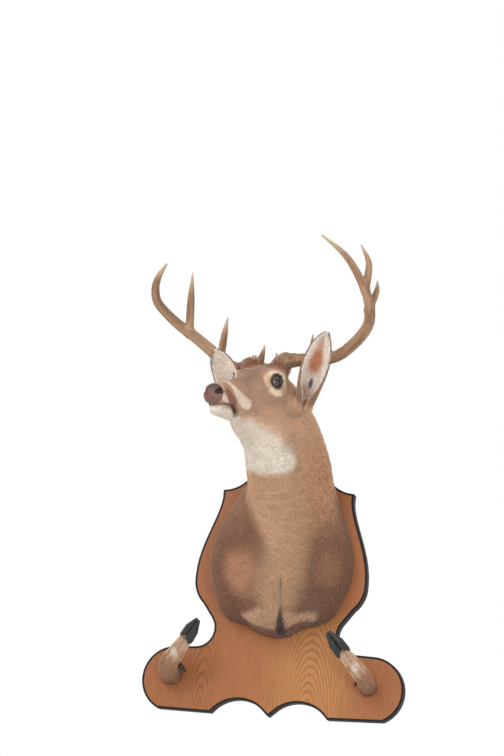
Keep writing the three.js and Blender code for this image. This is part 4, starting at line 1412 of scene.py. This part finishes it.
def veneer_material():
    """Golden veneer with a tall arched figure right of the middle and a small one on the left lobe."""
    mat = material("veneer", Roughness=0.45, Specular_IOR_Level=0.25)
    coords = node(mat, "TexCoord").outputs["Object"]
    x, _, z = node(mat, "SeparateXYZ", {0: coords}).outputs
    sway = noise_node(mat, place(mat, (1, 1, 0.4)), 9.0, 2.0)
    wander = arithmetic(mat, "MULTIPLY_ADD", sway, 0.03, -0.015)
    main, small = [growth_rings(mat, x, z, wander, figure) for figure in FIGURES]
    below = arithmetic(mat, "MULTIPLY_ADD", z, *BELOW, clamp=True)
    off_middle = arithmetic(mat, "ABSOLUTE", arithmetic(mat, "SUBTRACT", x, FIGURES[0]["x"]))
    to_right, to_left = [
        arithmetic(mat, "MULTIPLY", arithmetic(mat, "MULTIPLY_ADD", place, *fade, clamp=True), below)
        for place, fade in ((off_middle, TO_RIGHT), (x, TO_LEFT))
    ]
    wood = mix(mat, to_right, WOOD_DARK, WOOD_GOLD)
    lines = mix(mat, to_left, mix(mat, to_right, grey(1.0), main), small)
    fibre = noise_node(mat, place(mat, (1, 1, 0.03)), 700, 3.0)
    pores = ramp_node(mat, fibre, (0.35, grey(0.84)), (0.6, grey(1.06)))
    clouds = noise_node(mat, place(mat, (1, 1, 0.3)), 9)
    broad = ramp_node(mat, clouds, (0.3, grey(0.9)), (0.7, grey(1.08)))
    colour = wood
    for layer in (lines, pores, broad):
        colour = mix(mat, 1.0, colour, layer, "MULTIPLY")
    link(mat, colour, "Base Color")
    bump(mat, fibre, 0.0002, 0.3)
    return mat


# ---- floor, light and camera ----
CAMERA_TURN, CAMERA_RISE, CAMERA_ROLL = np.radians([16.0, -16.5, 5.683])
CAMERA_AWAY = 4638.5
CAMERA_SHIFT = (117.72, -472.0)        # how far the view's middle lies right of and above the origin
FOCAL_PIXELS = 2000
IMAGE_HEIGHT = 756
FLOOR, FLOOR_WIDTH = -1.0, 12.0        # in metres, as the lights are
LIGHTS = [                             # name, place, what it is aimed at, size and power
    ("key", (-0.9, -2.4, 1.5), (0, -0.2, 0.15), 1.2, 31),
    ("catch", (1.01, -2.27, 0.04), (0, -0.3, 0.35), 0.5, 12),    # the glint in the near eye
]


def camera_axes():
    a, e = CAMERA_TURN, CAMERA_RISE
    back = np.array([np.sin(a) * np.cos(e), -np.cos(a) * np.cos(e), np.sin(e)])
    right = np.array([np.cos(a), np.sin(a), 0])
    return back, right, np.cross(back, right)


def build_camera():
    back, right, up = camera_axes()
    position = (back * CAMERA_AWAY - right * CAMERA_SHIFT[0] - up * CAMERA_SHIFT[1]) * MM
    c, s = np.cos(CAMERA_ROLL), np.sin(CAMERA_ROLL)
    turned = np.array([c * right + s * up, -s * right + c * up, back]).T
    data = bpy.data.cameras.new("camera")
    data.sensor_fit = "VERTICAL"
    data.sensor_height = 36
    data.lens = FOCAL_PIXELS / IMAGE_HEIGHT * data.sensor_height
    camera = add_object("camera", data)
    camera.matrix_world = Matrix.Translation(position) @ Matrix(turned.tolist()).to_4x4()
    bpy.context.scene.camera = camera


def area_light(name, position, aim, size, power):
    data = bpy.data.lights.new(name, "AREA")
    data.size = size
    data.energy = power
    lamp = add_object(name, data)
    lamp.location = position
    lamp.rotation_euler = (Vector(aim) - Vector(position)).to_track_quat("-Z", "Y").to_euler()


def build_stage():
    floor_mesh = bpy.data.meshes.new("floor")
    half = FLOOR_WIDTH / 2
    corners = [(-half, -half, FLOOR), (half, -half, FLOOR), (half, half, FLOOR), (-half, half, FLOOR)]
    floor_mesh.from_pydata(corners, [], [(0, 1, 2, 3)])
    floor = add_object("floor", floor_mesh)
    floor_mesh.materials.append(material("floor", Base_Color=(0.86, 0.86, 0.86, 1), Roughness=0.9))
    world = bpy.data.worlds.new("studio")
    world.use_nodes = True
    background = world.node_tree.nodes["Background"]
    background.inputs["Color"].default_value = (1, 1, 1, 1)
    background.inputs["Strength"].default_value = 1.0
    bpy.context.scene.world = world
    bpy.context.scene.view_settings.view_transform = "Standard"
    for light in LIGHTS:
        area_light(*light)


# ---- assembly ----
build_camera()
build_stage()
build_plaque()
skin_vertices, skin_faces, skin_normals = build_skin()
grow_coat(skin_vertices, skin_faces, skin_normals)
bare_skin = material("eyelid", Base_Color=(*srgb(34, 25, 22), 1), Roughness=0.5)
lash_hair = fur_material("lash", 0.6)
antler_bone = antler_material()
horn = hoof_material()
for side_name, sign in (("left", 1), ("right", -1)):
    build_eye(side_name, sign)
    build_lid_rim(side_name, sign, bare_skin)
    build_lashes(side_name, sign, lash_hair)
    build_antler(side_name, antler_bone)
    foot = Foot(side_name, sign)
    build_leg(foot)
    build_hoof(foot, horn)
